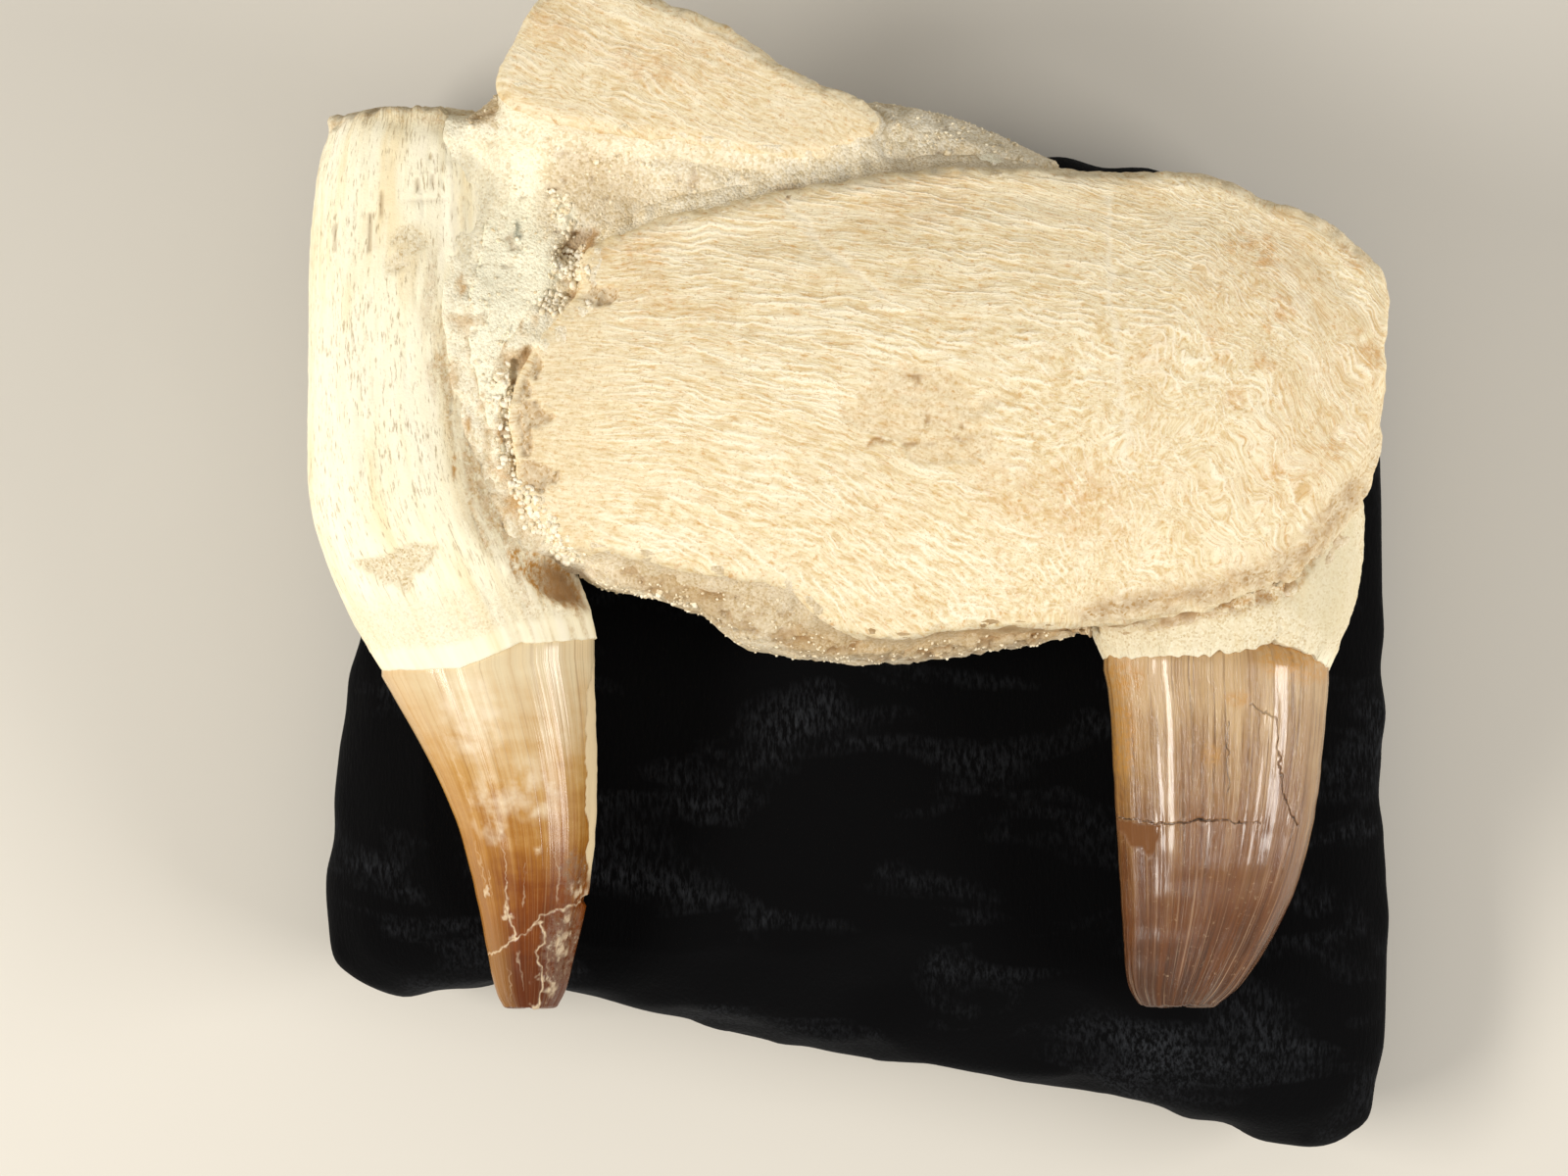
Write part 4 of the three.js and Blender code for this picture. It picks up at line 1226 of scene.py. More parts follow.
def left_root():
    form = ToothForm("left_root", (-57, 66.2, 2), (-49, -2.1, 5.5), SLICE)
    body = collared(form.points(), LEFT_COLLAR, left_crown_form(), 22, 0.1, 0.12, 211)
    edges = ((0.18, 1.6), (0.42, 1.4), (0.64, 1.1), (0.82, 0.8), (0.93, 0.5), (0.985, 0.25))
    broken = cap(body[0], (0, 1, 0), edges)
    lip = cap(body[-1], (0, -1, 0), ((0.99, 0.06), (0.96, 0.0)))
    piece = wrapped("left_root_bone", [*broken, *body, *lip])
    mesh = piece.data
    growth = round_tooth(form, len(broken), len(lip))
    points, facing = places(mesh), facings(mesh)
    front = smoothstep(facing[:, 2], 0.0, 0.3)
    wobbly = shaken(points, 1.4, 0.45, 221)
    y = points[:, 1]
    slots = scored(points, 0.1, 0.42, *SLOTS) * front
    triangle = in_outline(wobbly, SANDY_TRIANGLE, 0.35) * front
    flank = in_outline(wobbly, GREY_FLANK, 1.2) * front
    patch, grey_top = (np.clip(in_ovals(wobbly, ovals), 0, 1) * front for ovals in (SUNKEN_PATCH, GREY_TOP))
    broken_top = smoothstep(y + 1.5 * noise(points, 4, 223), 62.5, 65)
    band_top = np.interp(points[:, 0], (-62, -50.3, -44.2, -40), (-2.6, -1.2, 1.4, 2.0))
    band = smoothstep(band_top - y + 0.4 * noise(points, 2, 225), -0.3, 0.5)
    collar = smoothstep(y, -4.5, -2) * (1 - smoothstep(y - 0.1 * points[:, 0], 7.5, 12)) * (1 - band)
    hollow = in_oval(wobbly, *HOLLOW) * front
    knob = in_oval(points, *KNOB) * front
    spots = orange(wobbly) * front
    ridge = near_lines(points, 0.6, STEP_RIDGE) * front
    groove = near_lines(wobbly, 0.5, STEP_GROOVE) * front
    tee = scored(points, 0.05, 0.3, TEE_BAR) * front
    streaks = smoothstep(noise(growth, (0.7, 5, 0.7), 235) + 0.4 * noise(points, 2.2, 237), -0.25, 0.35)
    beside = points[:, 0] + 0.25 * (y - 12) + 1.5 * noise(growth, (1.6, 7, 1.6), 239)
    beside = smoothstep(beside, -50.5, -45) * front * (1 - smoothstep(y, 44, 52))
    flank = np.clip(flank * (0.35 + 0.65 * streaks) + 0.5 * beside * streaks, 0, 1)
    height = (
        root_heights(points, growth) * (1 - 0.8 * band)
        + broken_top * rough(points, 2.6, 227, 3)
        - 0.25 * slots
        - 0.5 * triangle
        - 0.25 * patch
        + 0.1 * (triangle + patch + collar + flank) * rough(points, 0.8, 229, 2)
        + 0.2 * band * front
        + 0.35 * ridge
        - 0.2 * groove
        - 0.15 * tee
        - 0.9 * hollow
        + 0.5 * knob
        - 0.2 * flank * smoothstep(noise(growth, (0.9, 3, 0.9), 231), 0.2, 0.6)
    )
    put(mesh, points + facing * height[:, None])
    mark_vectors(mesh, "growth", growth)
    # In the hollow the stain, dusk and pit marks are part brown and part painted shade under the jaw's
    # corner, darkest towards the jaw.
    shade_under_jaw = 0.35 + 0.6 * smoothstep(points[:, 0], -42, -37.5)
    mark(
        mesh,
        sand=0.9 * triangle + 0.7 * patch + 0.4 * collar + 0.5 * broken_top + 0.7 * flank,
        stain=0.8 * spots + 0.2 * groove + 1.3 * hollow + 0.45 * flank + 0.3 * broken_top,
        dusk=0.3 * triangle + 0.5 * (flank + grey_top + hollow) + 0.3 * patch + 0.35 * broken_top,
        smooth=band + 0.7 * collar + 0.3 * smoothstep(noise(points, 9, 233), 0, 0.5),
        pit=0.45 * slots + shade_under_jaw * hollow + 0.2 * tee,
    )
    return piece


def right_root():
    form = ToothForm("right_root", (47, 25.0, -1), (47, -3.4, -3.4), 0.4)
    body = collared(form.points(), RIGHT_COLLAR, right_crown_form(), 16, 0.2, 0.4, 241)
    inside = cap(body[0], (0, 1, 0), ((0.3, 0.0), (0.7, 0.0), (0.96, 0.0)))
    lip = cap(body[-1], (0, -1, 0), ((0.99, 0.06), (0.95, 0.0)))
    piece = wrapped("right_root_bone", [*inside, *body, *lip])
    mesh = piece.data
    growth = round_tooth(form, len(inside), len(lip))
    points, facing = places(mesh), facings(mesh)
    front = smoothstep(facing[:, 2], 0.0, 0.3)
    wobbly = shaken(points, 1.4, 0.5, 251)
    slab = in_outline(wobbly, SLAB, 0.6) * front
    crust = (1 - slab) * smoothstep(points[:, 1], -4.5, -1)
    ochre = near_lines(wobbly, 1.1, OCHRE_JOINT) * front
    height = (
        root_heights(points, growth) * (1 - 0.7 * slab)
        + 0.14 * crust * rough(points, 0.9, 253, 2)
        - 0.5 * ochre
    )
    put(mesh, points + facing * height[:, None])
    mark_vectors(mesh, "growth", growth)
    mark(
        mesh,
        sand=0.7 * crust + 0.3 * ochre + 0.35 * slab,
        stain=0.8 * ochre,
        dusk=0.85 * slab + 0.4 * ochre + 0.45 * crust,
        smooth=slab + 0.8 * crust,
        pit=0.5 * ochre * smoothstep(noise(points, 1.2, 255), 0.1, 0.5),
    )
    return piece


# The pieces that meet at the joints.
AROUND_THE_JOINTS = (
    "left_root_bone", "right_root_bone", "sandstone_matrix", "jaw_bone_surface", "upper_bone_surface",
)
# In millimetres, the width of the cells that the sand is drawn on, and how thick it is.
JOINT_CELL, JOINT_DEPTH = 0.5, 1.6
# In millimetres, a height under all of the fossil, and the lowest that the top of the pieces and the
# sand itself may be where the sand is kept.
UNDER_ALL, LOWEST_TOP, LOWEST_SAND = 20, 36, 37


def spread_out(values, reach, pick):
    """Each cell's highest or lowest value over the cells round it, as pick says."""
    for axis in (0, 1):
        values = pick.reduce([np.roll(values, shift, axis) for shift in range(-reach, reach + 1)])
    return values


def joint_sand():
    """Sand that fills the narrow joints between the roots, the sandstone and the bones."""
    field = Field((-74, -10), (70, 86), JOINT_CELL)
    top, owner = np.full(field.shape, float(UNDER_ALL)), np.zeros(field.shape)
    for order, name in enumerate(AROUND_THE_JOINTS):
        tree = tree_of(bpy.data.objects[name].data)
        for at in np.ndindex(field.shape):
            hit = tree.ray_cast((field.x[at], field.y[at], OVERHEAD), (0, 0, -1))[0]
            if hit and hit.z > top[at]:
                top[at], owner[at] = hit.z, order + 1
    narrow, wide = (
        spread_out(owner, reach, np.maximum) != spread_out(np.where(owner > 0, owner, 9), reach, np.minimum)
        for reach in (3, 5)
    )
    joint = np.where(field.x < -32, wide, narrow) & spread_out(owner > 0, 3, np.minimum)
    closed = spread_out(spread_out(top, 3, np.maximum), 3, np.minimum)
    most = 0.8 + 1.2 * smoothstep(-field.x, 28, 36)
    bank = np.clip(0.9 * (field.soften(closed, 1.5) - closed), 0, most)
    flat = np.stack([field.x.ravel(), field.y.ravel(), 0 * field.x.ravel()], axis=1)
    middle_of_it = smoothstep(field.soften(joint * 1.0, 0.9), 0.08, 0.75)
    low = duskiness(flat) * (1 - smoothstep(flat[:, 1], 9, 14))
    sunk = (1.5 + 1.5 * (flat[:, 0] < 36)) * near_lines(flat, 1.1, RIM_JOINT)
    sunk += 1.3 * notched(flat) + 0.5 * pocket(flat) + 2.0 * in_oval(flat, *HOLLOW)
    sunk += 1.2 * near_lines(flat, 0.8, *CREVICES) * smoothstep(noise(flat, 3, 265), -0.5, 0.2)
    crumbs = (0.38 + 0.35 * low + 0.5 * pocket(flat)) * rough(flat, 1.3, 261, 3)
    level = closed + bank - 0.1 + middle_of_it * crumbs.reshape(field.shape)
    level -= sunk.reshape(field.shape) + 1.6 * (1 - middle_of_it) ** 2
    filled = spread_out(joint & (level > top), 3, np.maximum) & (closed - top < 14)
    # Where the level falls away at the outline of the fossil, a cell would hang down beside it.
    filled &= (top > LOWEST_TOP) & (spread_out(level, 1, np.minimum) > LOWEST_SAND)
    for _ in range(4):
        # Cells that touch only at a corner would leave an open edge, so the pair beside them is filled too.
        a, b, c, d = filled[:-1, :-1], filled[1:, 1:], filled[1:, :-1], filled[:-1, 1:]
        cross = (a & b & ~c & ~d) | (~a & ~b & c & d)
        for cells in (a, b, c, d):
            cells |= cross
    corners = np.zeros(np.array(filled.shape) + 1, int)
    for i, j in np.argwhere(filled):
        corners[i : i + 2, j : j + 2] = 1
    corners[corners > 0] = np.arange(1, corners.sum() + 1)
    i, j = np.nonzero(corners)
    x, y = field.low[0] + (i - 0.5) * field.cell, field.low[1] + (j - 0.5) * field.cell
    z = field.read(level, x, y)
    points = np.vstack([np.stack([x, y, z], 1), np.stack([x, y, z - JOINT_DEPTH], 1)])
    below, faces = len(x), []
    for i, j in np.argwhere(filled):
        round_it = [corners[i, j], corners[i + 1, j], corners[i + 1, j + 1], corners[i, j + 1]]
        ring = [corner - 1 for corner in round_it]
        faces += [ring, [corner + below for corner in reversed(ring)]]
        for side, (di, dj) in enumerate(((0, -1), (1, 0), (0, 1), (-1, 0))):
            if not filled[i + di, j + dj]:
                start, end = ring[side], ring[(side + 1) % 4]
                faces.append([end, start, start + below, end + below])
    piece = built("joint_sand", points, faces)
    seam = near_lines(points, 1.1, CALCITE_SEAM)
    # brown: sand in the notches and pocket; part sand, part painted shade in the rim joint, crevices and
    # hollow.
    brown = near_lines(points, 1.6, RIM_JOINT) + notched(points) + 0.8 * pocket(points)
    brown += 0.8 * near_lines(points, 1.2, *CREVICES)
    hollow = in_oval(shaken(points, 1.4, 0.45, 221), *HOLLOW)
    brown += 1.1 * hollow
    beside_root = smoothstep(-points[:, 0], 37, 42) * (1 - hollow)
    streaks = beside_root * smoothstep(noise(points, (1.0, 4, 4), 267), -0.1, 0.4) * (points[:, 1] < 40)
    mark(
        piece.data,
        dusk=duskiness(points) + 0.6 * streaks + 0.4 * brown + 0.6 * hollow,
        ochre=orange(points) + 0.6 * brown + 0.6 * streaks,
        calcite=0.9 * seam + beside_root * (0.25 + 0.35 * smoothstep(points[:, 1], 30, 38)),
        pit=0.75 * np.clip(brown, 0, 1) * smoothstep(noise(points, 1.2, 263), -0.5, 0.4),
        pebbles=(seam + 1.4 * pocket(points)) * smoothstep(facings(piece.data)[:, 2], 0.2, 0.6),
    )
    return piece


class FOSSIL_OT_joints(bpy.types.Operator):
    """Fills the joints between the pieces with sand and crumbs of calcite"""

    bl_idname = "fossil.joints"
    bl_label = "Joints"

    def execute(self, context):
        joints = joint_sand()
        pebble = loose_grain("seam pebbles", "#ead9b6", "#fff8e6", 0.6)
        strewn("seam_pebbles", joints, pebble, "pebbles", 2.1, PEBBLE_CROWD, 2)
        finish_piece(joints, bedded_sandstone(), "sandstone")
        return {"FINISHED"}


class FOSSIL_OT_roots(bpy.types.Operator):
    """Makes the bony roots of both teeth"""

    bl_idname = "fossil.roots"
    bl_label = "Tooth roots"

    def execute(self, context):
        material = chalky_root()
        finish_piece(left_root(), material, "root_bone", "left_root")
        finish_piece(right_root(), material, "root_bone", "right_root")
        return {"FINISHED"}


# Cracks in the enamel. White calcite fills those of the left crown.
WHITE_CRACKS = (
    ((-47.9, -41.8), (-46.6, -41.4), (-45.1, -40.4), (-44.1, -39.4), (-42.6, -39.0), (-41.7, -37.8),
     (-40.9, -36.6), (-39.0, -36.1), (-37.6, -35.6), (-36.2, -35.2), (-34.9, -34.4)),
    ((-44.9, -32.4), (-45.1, -35.0), (-44.7, -37.0), (-44.0, -39.3)),
    ((-41.7, -37.8), (-40.5, -37.5), (-40.3, -39.9), (-41.4, -41.3), (-40.8, -44.7), (-41.2, -48.4)),
)
WHITE_HAIRS = (
    ((-47.1, -16.4), (-46.6, -21.6), (-44.9, -30.7), (-44.9, -32.3)),
    ((-52.9, -13.2), (-51.8, -15.8), (-49.6, -22.0)), ((-47.4, -30.7), (-47.1, -33.9)),
    ((-38.9, -28.1), (-38.4, -31.0), (-38.6, -34.8)), ((-42.7, -29.7), (-42.9, -35.3)),
    ((-45.7, -42.2), (-44.9, -44.0), (-44.8, -47.9)), ((-43.8, -41.0), (-43.1, -46.2)),
    ((-39.9, -40.4), (-40.0, -44.6)), ((-48.9, -27.0), (-48.0, -32.5)), ((-41.2, -20.5), (-41.0, -26.5)),
)
CALCITE_SPOTS = (
    ((-45.0, -36.6), (0.9, 1.4)), ((-41.1, -28.4), (0.5, 0.9)), ((-44.2, -39.3), (1.1, 0.7)),
    ((-41.2, -44.8), (1.2, 0.9)), ((-38.3, -41.0), (1.3, 3.0)), ((-37.2, -38.0), (1.0, 2.2)),
    ((-41.4, -48.7), (1.6, 0.9)), ((-39.4, -46.0), (1.0, 1.8)), ((-35.9, -33.4), (1.4, 1.8)),
    ((-47.6, -33.2), (0.7, 1.2)),
)
# Where the left crown is milky, and where it is grey and flaking.
MILKY = (((-49.2, -11.0), (5.5, 6.5), 0), ((-47.2, -22.5), (3.2, 5.5), 0), ((-41.5, -20.0), (4.5, 5.0), 0))
GREY_ENAMEL = (((-38.0, -40.5), (3.2, 6.5), -6), ((-36.6, -31.0), (2.0, 4.0), 0))
DARK_CRACKS = (
    ((32.4, -23.8), (34.6, -23.9), (37.2, -24.5), (41.4, -24.3), (45.4, -23.9), (48.5, -24.5)),
    ((49.3, -9.1), (52.9, -11.1), (53.0, -13.2), (53.4, -17.7), (53.9, -20.7), (55.1, -23.4), (55.9, -24.8)),
)
FINE_CRACKS = (((48.5, -24.5), (51.2, -24.7)), ((46.7, -11.5), (46.6, -16.0), (46.7, -20.3)))
OCHRE = (
    (1.0, (55.5, -4.0), (7, 3.2), -12), (0.8, (34.2, -6.0), (2.4, 2.6), 0),
    (0.6, (47.9, -8.4), (2.2, 1.4), 0), (0.5, (44.6, -15.7), (1.8, 2.0), 0),
    (0.6, (34.0, -14.0), (1.6, 6.0), 0),
)
FLAKED = ((33.0, -24.4), (38.5, -24.7), (37.6, -28.6), (34.9, -27.4))


def enamel_form(name, form):
    """A crown that goes on up inside the root bone that overlaps it."""
    body = form.points()
    rounding = ((0.975, 0.16), (0.93, 0.28), (0.84, 0.36), (0.66, 0.4), (0.42, 0.42), (0.2, 0.4))
    tip = cap(body[-1], (0, -1, 0), rounding)
    hidden = cap(body[0], (0, 1, 0), ((0.5, 5.2), (0.86, 5.0), (0.97, 3.6), (1.0, 2.4), (1.0, 1.2)))
    piece = wrapped(name, [*hidden, *body, *tip])
    mark_vectors(piece.data, "growth", round_tooth(form, len(hidden), len(tip)))
    return piece


def cut_along(piece, lines, reaches):
    """Makes the faces near the lines fine enough to show a crack, once for each reach."""
    for reach in reaches:
        faces = piece.data.polygons
        middles = vectors(faces, "center") / MM
        near = np.minimum.reduce([near_line(middles, line) for line in lines])
        cut_finer(piece, (near < reach) & (vectors(faces, "normal")[:, 2] > -0.1))


def enamel_relief(growth, seed):
    """Shallow flats down the crown, fine lines on them, and faint bands where it grew."""
    fine = look("enamel_look").striation / MM
    return (
        0.17 * noise(growth, (4.2, 30, 4.2), seed)
        + 0.07 * noise(growth, (1.5, 26, 1.5), seed + 1)
        + 0.024 * rough(growth, (fine * 1.6, 12, fine * 1.6), seed + 2, 2)
        + 0.04 * noise(growth, (14, 2.0, 14), seed + 3)
    )


def mark_crown(mesh, form, **marks):
    top, tip = form.middle[0, 1], form.middle[-1, 1]
    mark(mesh, down=(top - places(mesh)[:, 1]) / (top - tip), **marks)


def left_crown():
    form = left_crown_form()
    piece = enamel_form("left_crown_enamel", form)
    cut_along(piece, (*WHITE_CRACKS, *WHITE_HAIRS), (1.0, 0.55))
    mesh = piece.data
    points, facing, growth = places(mesh), facings(mesh), vectors(mesh.attributes["growth"].data, "vector")
    front = smoothstep(facing[:, 2], -0.1, 0.2)
    wobbly = shaken(points, 0.8, 0.32, 301)
    half = look("enamel_look").crack / MM
    crack = near_lines(wobbly, half, *WHITE_CRACKS) * front
    crack *= 0.55 + 0.45 * smoothstep(noise(points, 1.2, 317), -0.5, 0.2)
    hair = near_lines(wobbly, 0.6 * half, *WHITE_HAIRS) * front
    hair *= smoothstep(noise(points, 2.4, 319), -0.6, 0.3)
    ragged = shaken(points, 0.8, 0.5, 303)
    spot = in_ovals(ragged, CALCITE_SPOTS) * front * smoothstep(rough(points, 0.8, 305, 2), -0.25, 0.35)
    right = np.interp(points[:, 1], (-34, -27, -17, -9.6, -1), (-34.6, -34.1, -34.3, -34.3, -33.5))
    width = 0.45 + 0.35 * noise(points, (60, 2.6, 60), 307) + 0.25 * rough(points, (60, 0.8, 60), 309, 2)
    keel = smoothstep(points[:, 0] - right + width, -0.15, 0.15) * smoothstep(facing[:, 0], 0.45, 0.6)
    keel *= smoothstep(points[:, 1], -34, -30) * (1 - smoothstep(points[:, 1], -7.5, -3.5))
    notch = in_oval(points, (-34.6, -34.8), (1.1, 0.9)) * smoothstep(facing[:, 0], 0.3, 0.6)
    # The crown's left-facing side: the material paints it amber, a painted glow of light shining through the
    # thin enamel.
    rim = smoothstep(-facing[:, 0], 0.25, 0.95)
    height = (
        enamel_relief(growth, 311)
        - 0.05 * crack
        + 0.10 * spot * (1 + rough(points, 0.7, 313, 2))
        - 0.22 * keel
        - 0.8 * notch
        + 0.05 * keel * rough(points, 1.0, 315, 2)
        - 0.1 * in_oval(ragged, (-37.4, -40), (2.4, 5)) * front
    )
    put(mesh, points + facing * height[:, None])
    mark_crown(
        mesh,
        form,
        calcite=np.maximum(np.clip(crack, 0, 1), 0.8 * spot) * 0.85 + 0.35 * hair,
        keel=keel,
        rim=rim,
        milky=in_ovals(ragged, MILKY) * front,
        grey=in_ovals(ragged, GREY_ENAMEL) * front,
    )
    return piece


def right_crown():
    form = right_crown_form()
    piece = enamel_form("right_crown_enamel", form)
    cut_along(piece, (*DARK_CRACKS, *FINE_CRACKS), (1.2, 0.7))
    mesh = piece.data
    points, facing, growth = places(mesh), facings(mesh), vectors(mesh.attributes["growth"].data, "vector")
    front = smoothstep(facing[:, 2], -0.1, 0.2)
    wobbly = shaken(points, 0.7, 0.3, 331)
    half = look("enamel_look").crack / MM
    width = half * (0.75 + 0.5 * noise(points, 2.0, 337))
    split = scored(wobbly, 0.1 * width, width, *DARK_CRACKS) * front
    split *= 1 - 0.5 * smoothstep(points[:, 1], -23.5, -20)
    split += 0.6 * scored(wobbly, 0, 0.6 * half, *FINE_CRACKS) * front
    split = np.clip(split, 0, 1)
    flaked = in_outline(shaken(points, 1.2, 0.3, 333), FLAKED, 0.2) * front
    chips = smoothstep(noise(points, 1.4, 335), 0.3, 0.7) * smoothstep(-facing[:, 0], 0.7, 0.95)
    height = (
        1.6 * enamel_relief(growth, 341)
        - 0.3 * split
        - 0.16 * flaked
        - 0.15 * chips * smoothstep(-points[:, 1], 30, 38)
    )
    put(mesh, points + facing * height[:, None])
    amber = in_ovals(wobbly, OCHRE)
    amber += 0.6 * smoothstep(-facing[:, 0], 0.5, 0.95) * smoothstep(points[:, 1], -30, -12)
    mark_crown(mesh, form, split=split, flaked=flaked, amber=amber * (front + 0.2))
    return piece


def amber_enamel():
    """Fossil tooth enamel stained by iron: hard, polished, a little clear, cream to red-brown at the tip."""
    gloss = look("enamel_look").gloss
    wanted = ("down", "calcite", "keel", "rim", "milky", "grey")
    material, tree, place, marks = fresh_material("amber fossil enamel", *wanted)
    growth = add(tree, "Attribute", out="Vector", attribute_name="growth")
    patterns = {}
    # On the growth of the crown: clouds that lie across it, 3 to 8 mm apart, streaks down it, hair-fine
    # lines 0.3 mm wide, some pale and some dark, and milky clouds 2 to 3 mm across.
    for name, scale, octaves, roughness in (
        ("cloud", (0.09, 0.32, 0.09), 4, 0.6),
        ("streak", (0.7, 0.045, 0.7), 5, 0.7),
        ("lines", (3, 0.05, 3), 2, 0.5),
        ("milk", (0.3, 0.4, 0.3), 3, 0.55),
    ):
        along = add(tree, "Mapping", {"Vector": growth, "Scale": scale})
        inputs = {"Vector": along, "Scale": 1, "Detail": octaves, "Roughness": roughness}
        patterns[name] = add(tree, "TexNoise", inputs)
    # Flaking enamel, mottled over 1 mm, and wear over 2.5 mm.
    for name, size, roughness in (("mottle", 1, 0.75), ("wear", 2.5, 0.7)):
        inputs = {"Vector": place, "Scale": per(size), "Detail": 5, "Roughness": roughness}
        patterns[name] = add(tree, "TexNoise", inputs)
    depth = marks["down"]
    for name, share in (("cloud", 0.34), ("streak", 0.5)):
        depth = add(tree, "Math", (patterns[name], share, depth), operation="MULTIPLY_ADD")
    depth = add(tree, "Math", (depth, 0.42), operation="SUBTRACT")
    tones = (
        (0, "#e3d1ac"), (0.14, "#d9bf95"), (0.32, "#c39859"), (0.5, "#a36d2a"), (0.7, "#7a3d09"),
        (0.9, "#5b2703"),
    )
    colour = add(tree, "ValToRGB", (depth,), stops=tones)
    shares = {}
    for name, pattern, low, high, most, where in (
        ("pale line", "lines", 0.55, 0.8, 0.2, None),
        ("dark line", "lines", 0.45, 0.2, 0.45, None),
        ("milk", "milk", 0.38, 0.7, 0.75, "milky"),
        ("flake", "mottle", 0.4, 0.6, 0.75, "grey"),
        ("fleck", "mottle", 0.58, 0.7, 0.6, "grey"),
        ("crumb", "mottle", 0.3, 0.5, 1, "calcite"),
    ):
        share = add(tree, "MapRange", (patterns[pattern], low, high, 0, most))
        if where:
            share = add(tree, "Math", (share, marks[where]), operation="MULTIPLY")
        shares[name] = share
    # The left-facing side gets a painted glow: the amber of light shining through the thin enamel.
    painted_glow = add(tree, "Math", (marks["rim"], 0.4), operation="MULTIPLY")
    for share, paint in (
        (shares["pale line"], "#e6c48e"), (shares["dark line"], "#80491c"), (shares["milk"], "#ecdcc0"),
        (painted_glow, "#c48d33"), (shares["flake"], "#7d6148"), (shares["fleck"], "#e4d3ba"),
        (marks["keel"], "#e2cda6"), (shares["crumb"], "#ead5b2"),
    ):
        layer = {"Factor_Float": share, "A_Color": colour, "B_Color": paint}
        colour = add(tree, "Mix", layer, data_type="RGBA")
    dull = add(tree, "Math", (marks["milky"], 0.15), operation="MULTIPLY")
    for other in (marks["calcite"], marks["keel"], shares["flake"]):
        dull = add(tree, "Math", (dull, other), operation="MAXIMUM")
    dull = add(tree, "MapRange", (dull, 0, 1, gloss - 0.14, 0.7))
    dull = add(tree, "Math", (patterns["wear"], 0.26, dull), operation="MULTIPLY_ADD")
    bump = add(tree, "Bump", {"Strength": 0.6, "Distance": 0.08 * MM, "Height": patterns["lines"]})
    finish = {"Base Color": colour, "Roughness": dull, "IOR": 1.5, "Normal": bump}
    finish |= {"Coat Weight": 0.08, "Coat Roughness": 0.14}
    add(tree, "OutputMaterial", (add(tree, "BsdfPrincipled", finish),))
    return material


def brown_enamel():
    """Fossil tooth enamel, darker and more worn: polished brown with a grey bloom in long streaks."""
    gloss = look("enamel_look").gloss
    material, tree, place, marks = fresh_material("brown fossil enamel", "down", "split", "flaked", "amber")
    growth = add(tree, "Attribute", out="Vector", attribute_name="growth")
    patterns = {}
    # Down the crown: broad streaks, and fine lines 0.35 mm wide, some dark and some worn pale.
    for name, scale, octaves, roughness in (
        ("streak", (0.55, 0.03, 0.55), 6, 0.7), ("lines", (2.6, 0.05, 2.6), 4, 0.65),
    ):
        along = add(tree, "Mapping", {"Vector": growth, "Scale": scale})
        inputs = {"Vector": along, "Scale": 1, "Detail": octaves, "Roughness": roughness}
        patterns[name] = add(tree, "TexNoise", inputs)
    # Clouds 7 mm across, and specks of bloom under 1 mm.
    for name, size, roughness in (("cloud", 7, 0.6), ("speck", 0.8, 0.75)):
        inputs = {"Vector": place, "Scale": per(size), "Detail": 4, "Roughness": roughness}
        patterns[name] = add(tree, "TexNoise", inputs)
    depth = marks["down"]
    for name, share in (("cloud", 0.45), ("streak", 1.1)):
        depth = add(tree, "Math", (patterns[name], share, depth), operation="MULTIPLY_ADD")
    depth = add(tree, "Math", (depth, 0.74), operation="SUBTRACT")
    tones = ((0, "#c6a67a"), (0.25, "#a37e52"), (0.5, "#845a34"), (0.75, "#6b3d18"), (1, "#4c2a10"))
    colour = add(tree, "ValToRGB", (depth,), stops=tones)
    dark, pale, bloom, ochre = (
        add(tree, "MapRange", (patterns[pattern], low, high, 0, most))
        for pattern, low, high, most in (
            ("lines", 0.48, 0.27, 0.85), ("lines", 0.56, 0.74, 0.7),
            ("speck", 0.6, 0.75, 0.5), ("speck", 0.36, 0.6, 0.9),
        )
    )
    warm = add(tree, "Math", (marks["amber"], ochre), operation="MULTIPLY")
    for share, paint in (
        (dark, "#4f2f18"), (pale, "#bd9c7b"), (bloom, "#c5a884"), (warm, "#bf8a40"),
        (marks["flaked"], "#7a4c22"), (marks["split"], "#1c0f06"),
    ):
        layer = {"Factor_Float": share, "A_Color": colour, "B_Color": paint}
        colour = add(tree, "Mix", layer, data_type="RGBA")
    dull = add(tree, "Math", (marks["flaked"], marks["split"]), operation="MAXIMUM")
    dull = add(tree, "MapRange", (dull, 0, 1, gloss - 0.2, 0.9))
    # Worn lines are rougher than the rest, and break the shine up.
    dull = add(tree, "Math", (patterns["lines"], 0.3, dull), operation="MULTIPLY_ADD")
    bump = add(tree, "Bump", {"Strength": 0.9, "Distance": 0.18 * MM, "Height": patterns["lines"]})
    finish = {"Base Color": colour, "Roughness": dull, "IOR": 1.55, "Normal": bump}
    finish |= {"Coat Weight": 0.6, "Coat Roughness": 0.12}
    add(tree, "OutputMaterial", (add(tree, "BsdfPrincipled", finish),))
    return material


class FOSSIL_OT_crowns(bpy.types.Operator):
    """Makes the enamel crowns of both teeth"""

    bl_idname = "fossil.crowns"
    bl_label = "Tooth crowns"

    def execute(self, context):
        finish_piece(left_crown(), amber_enamel(), "amber_enamel", "left_crown")
        finish_piece(right_crown(), brown_enamel(), "brown_enamel", "right_crown")
        return {"FINISHED"}


# ---- Cushion -----------------------------------------------------------------------------------

# How many steps of the cloth it takes for the filling to settle.
FILLING_STEPS = 20


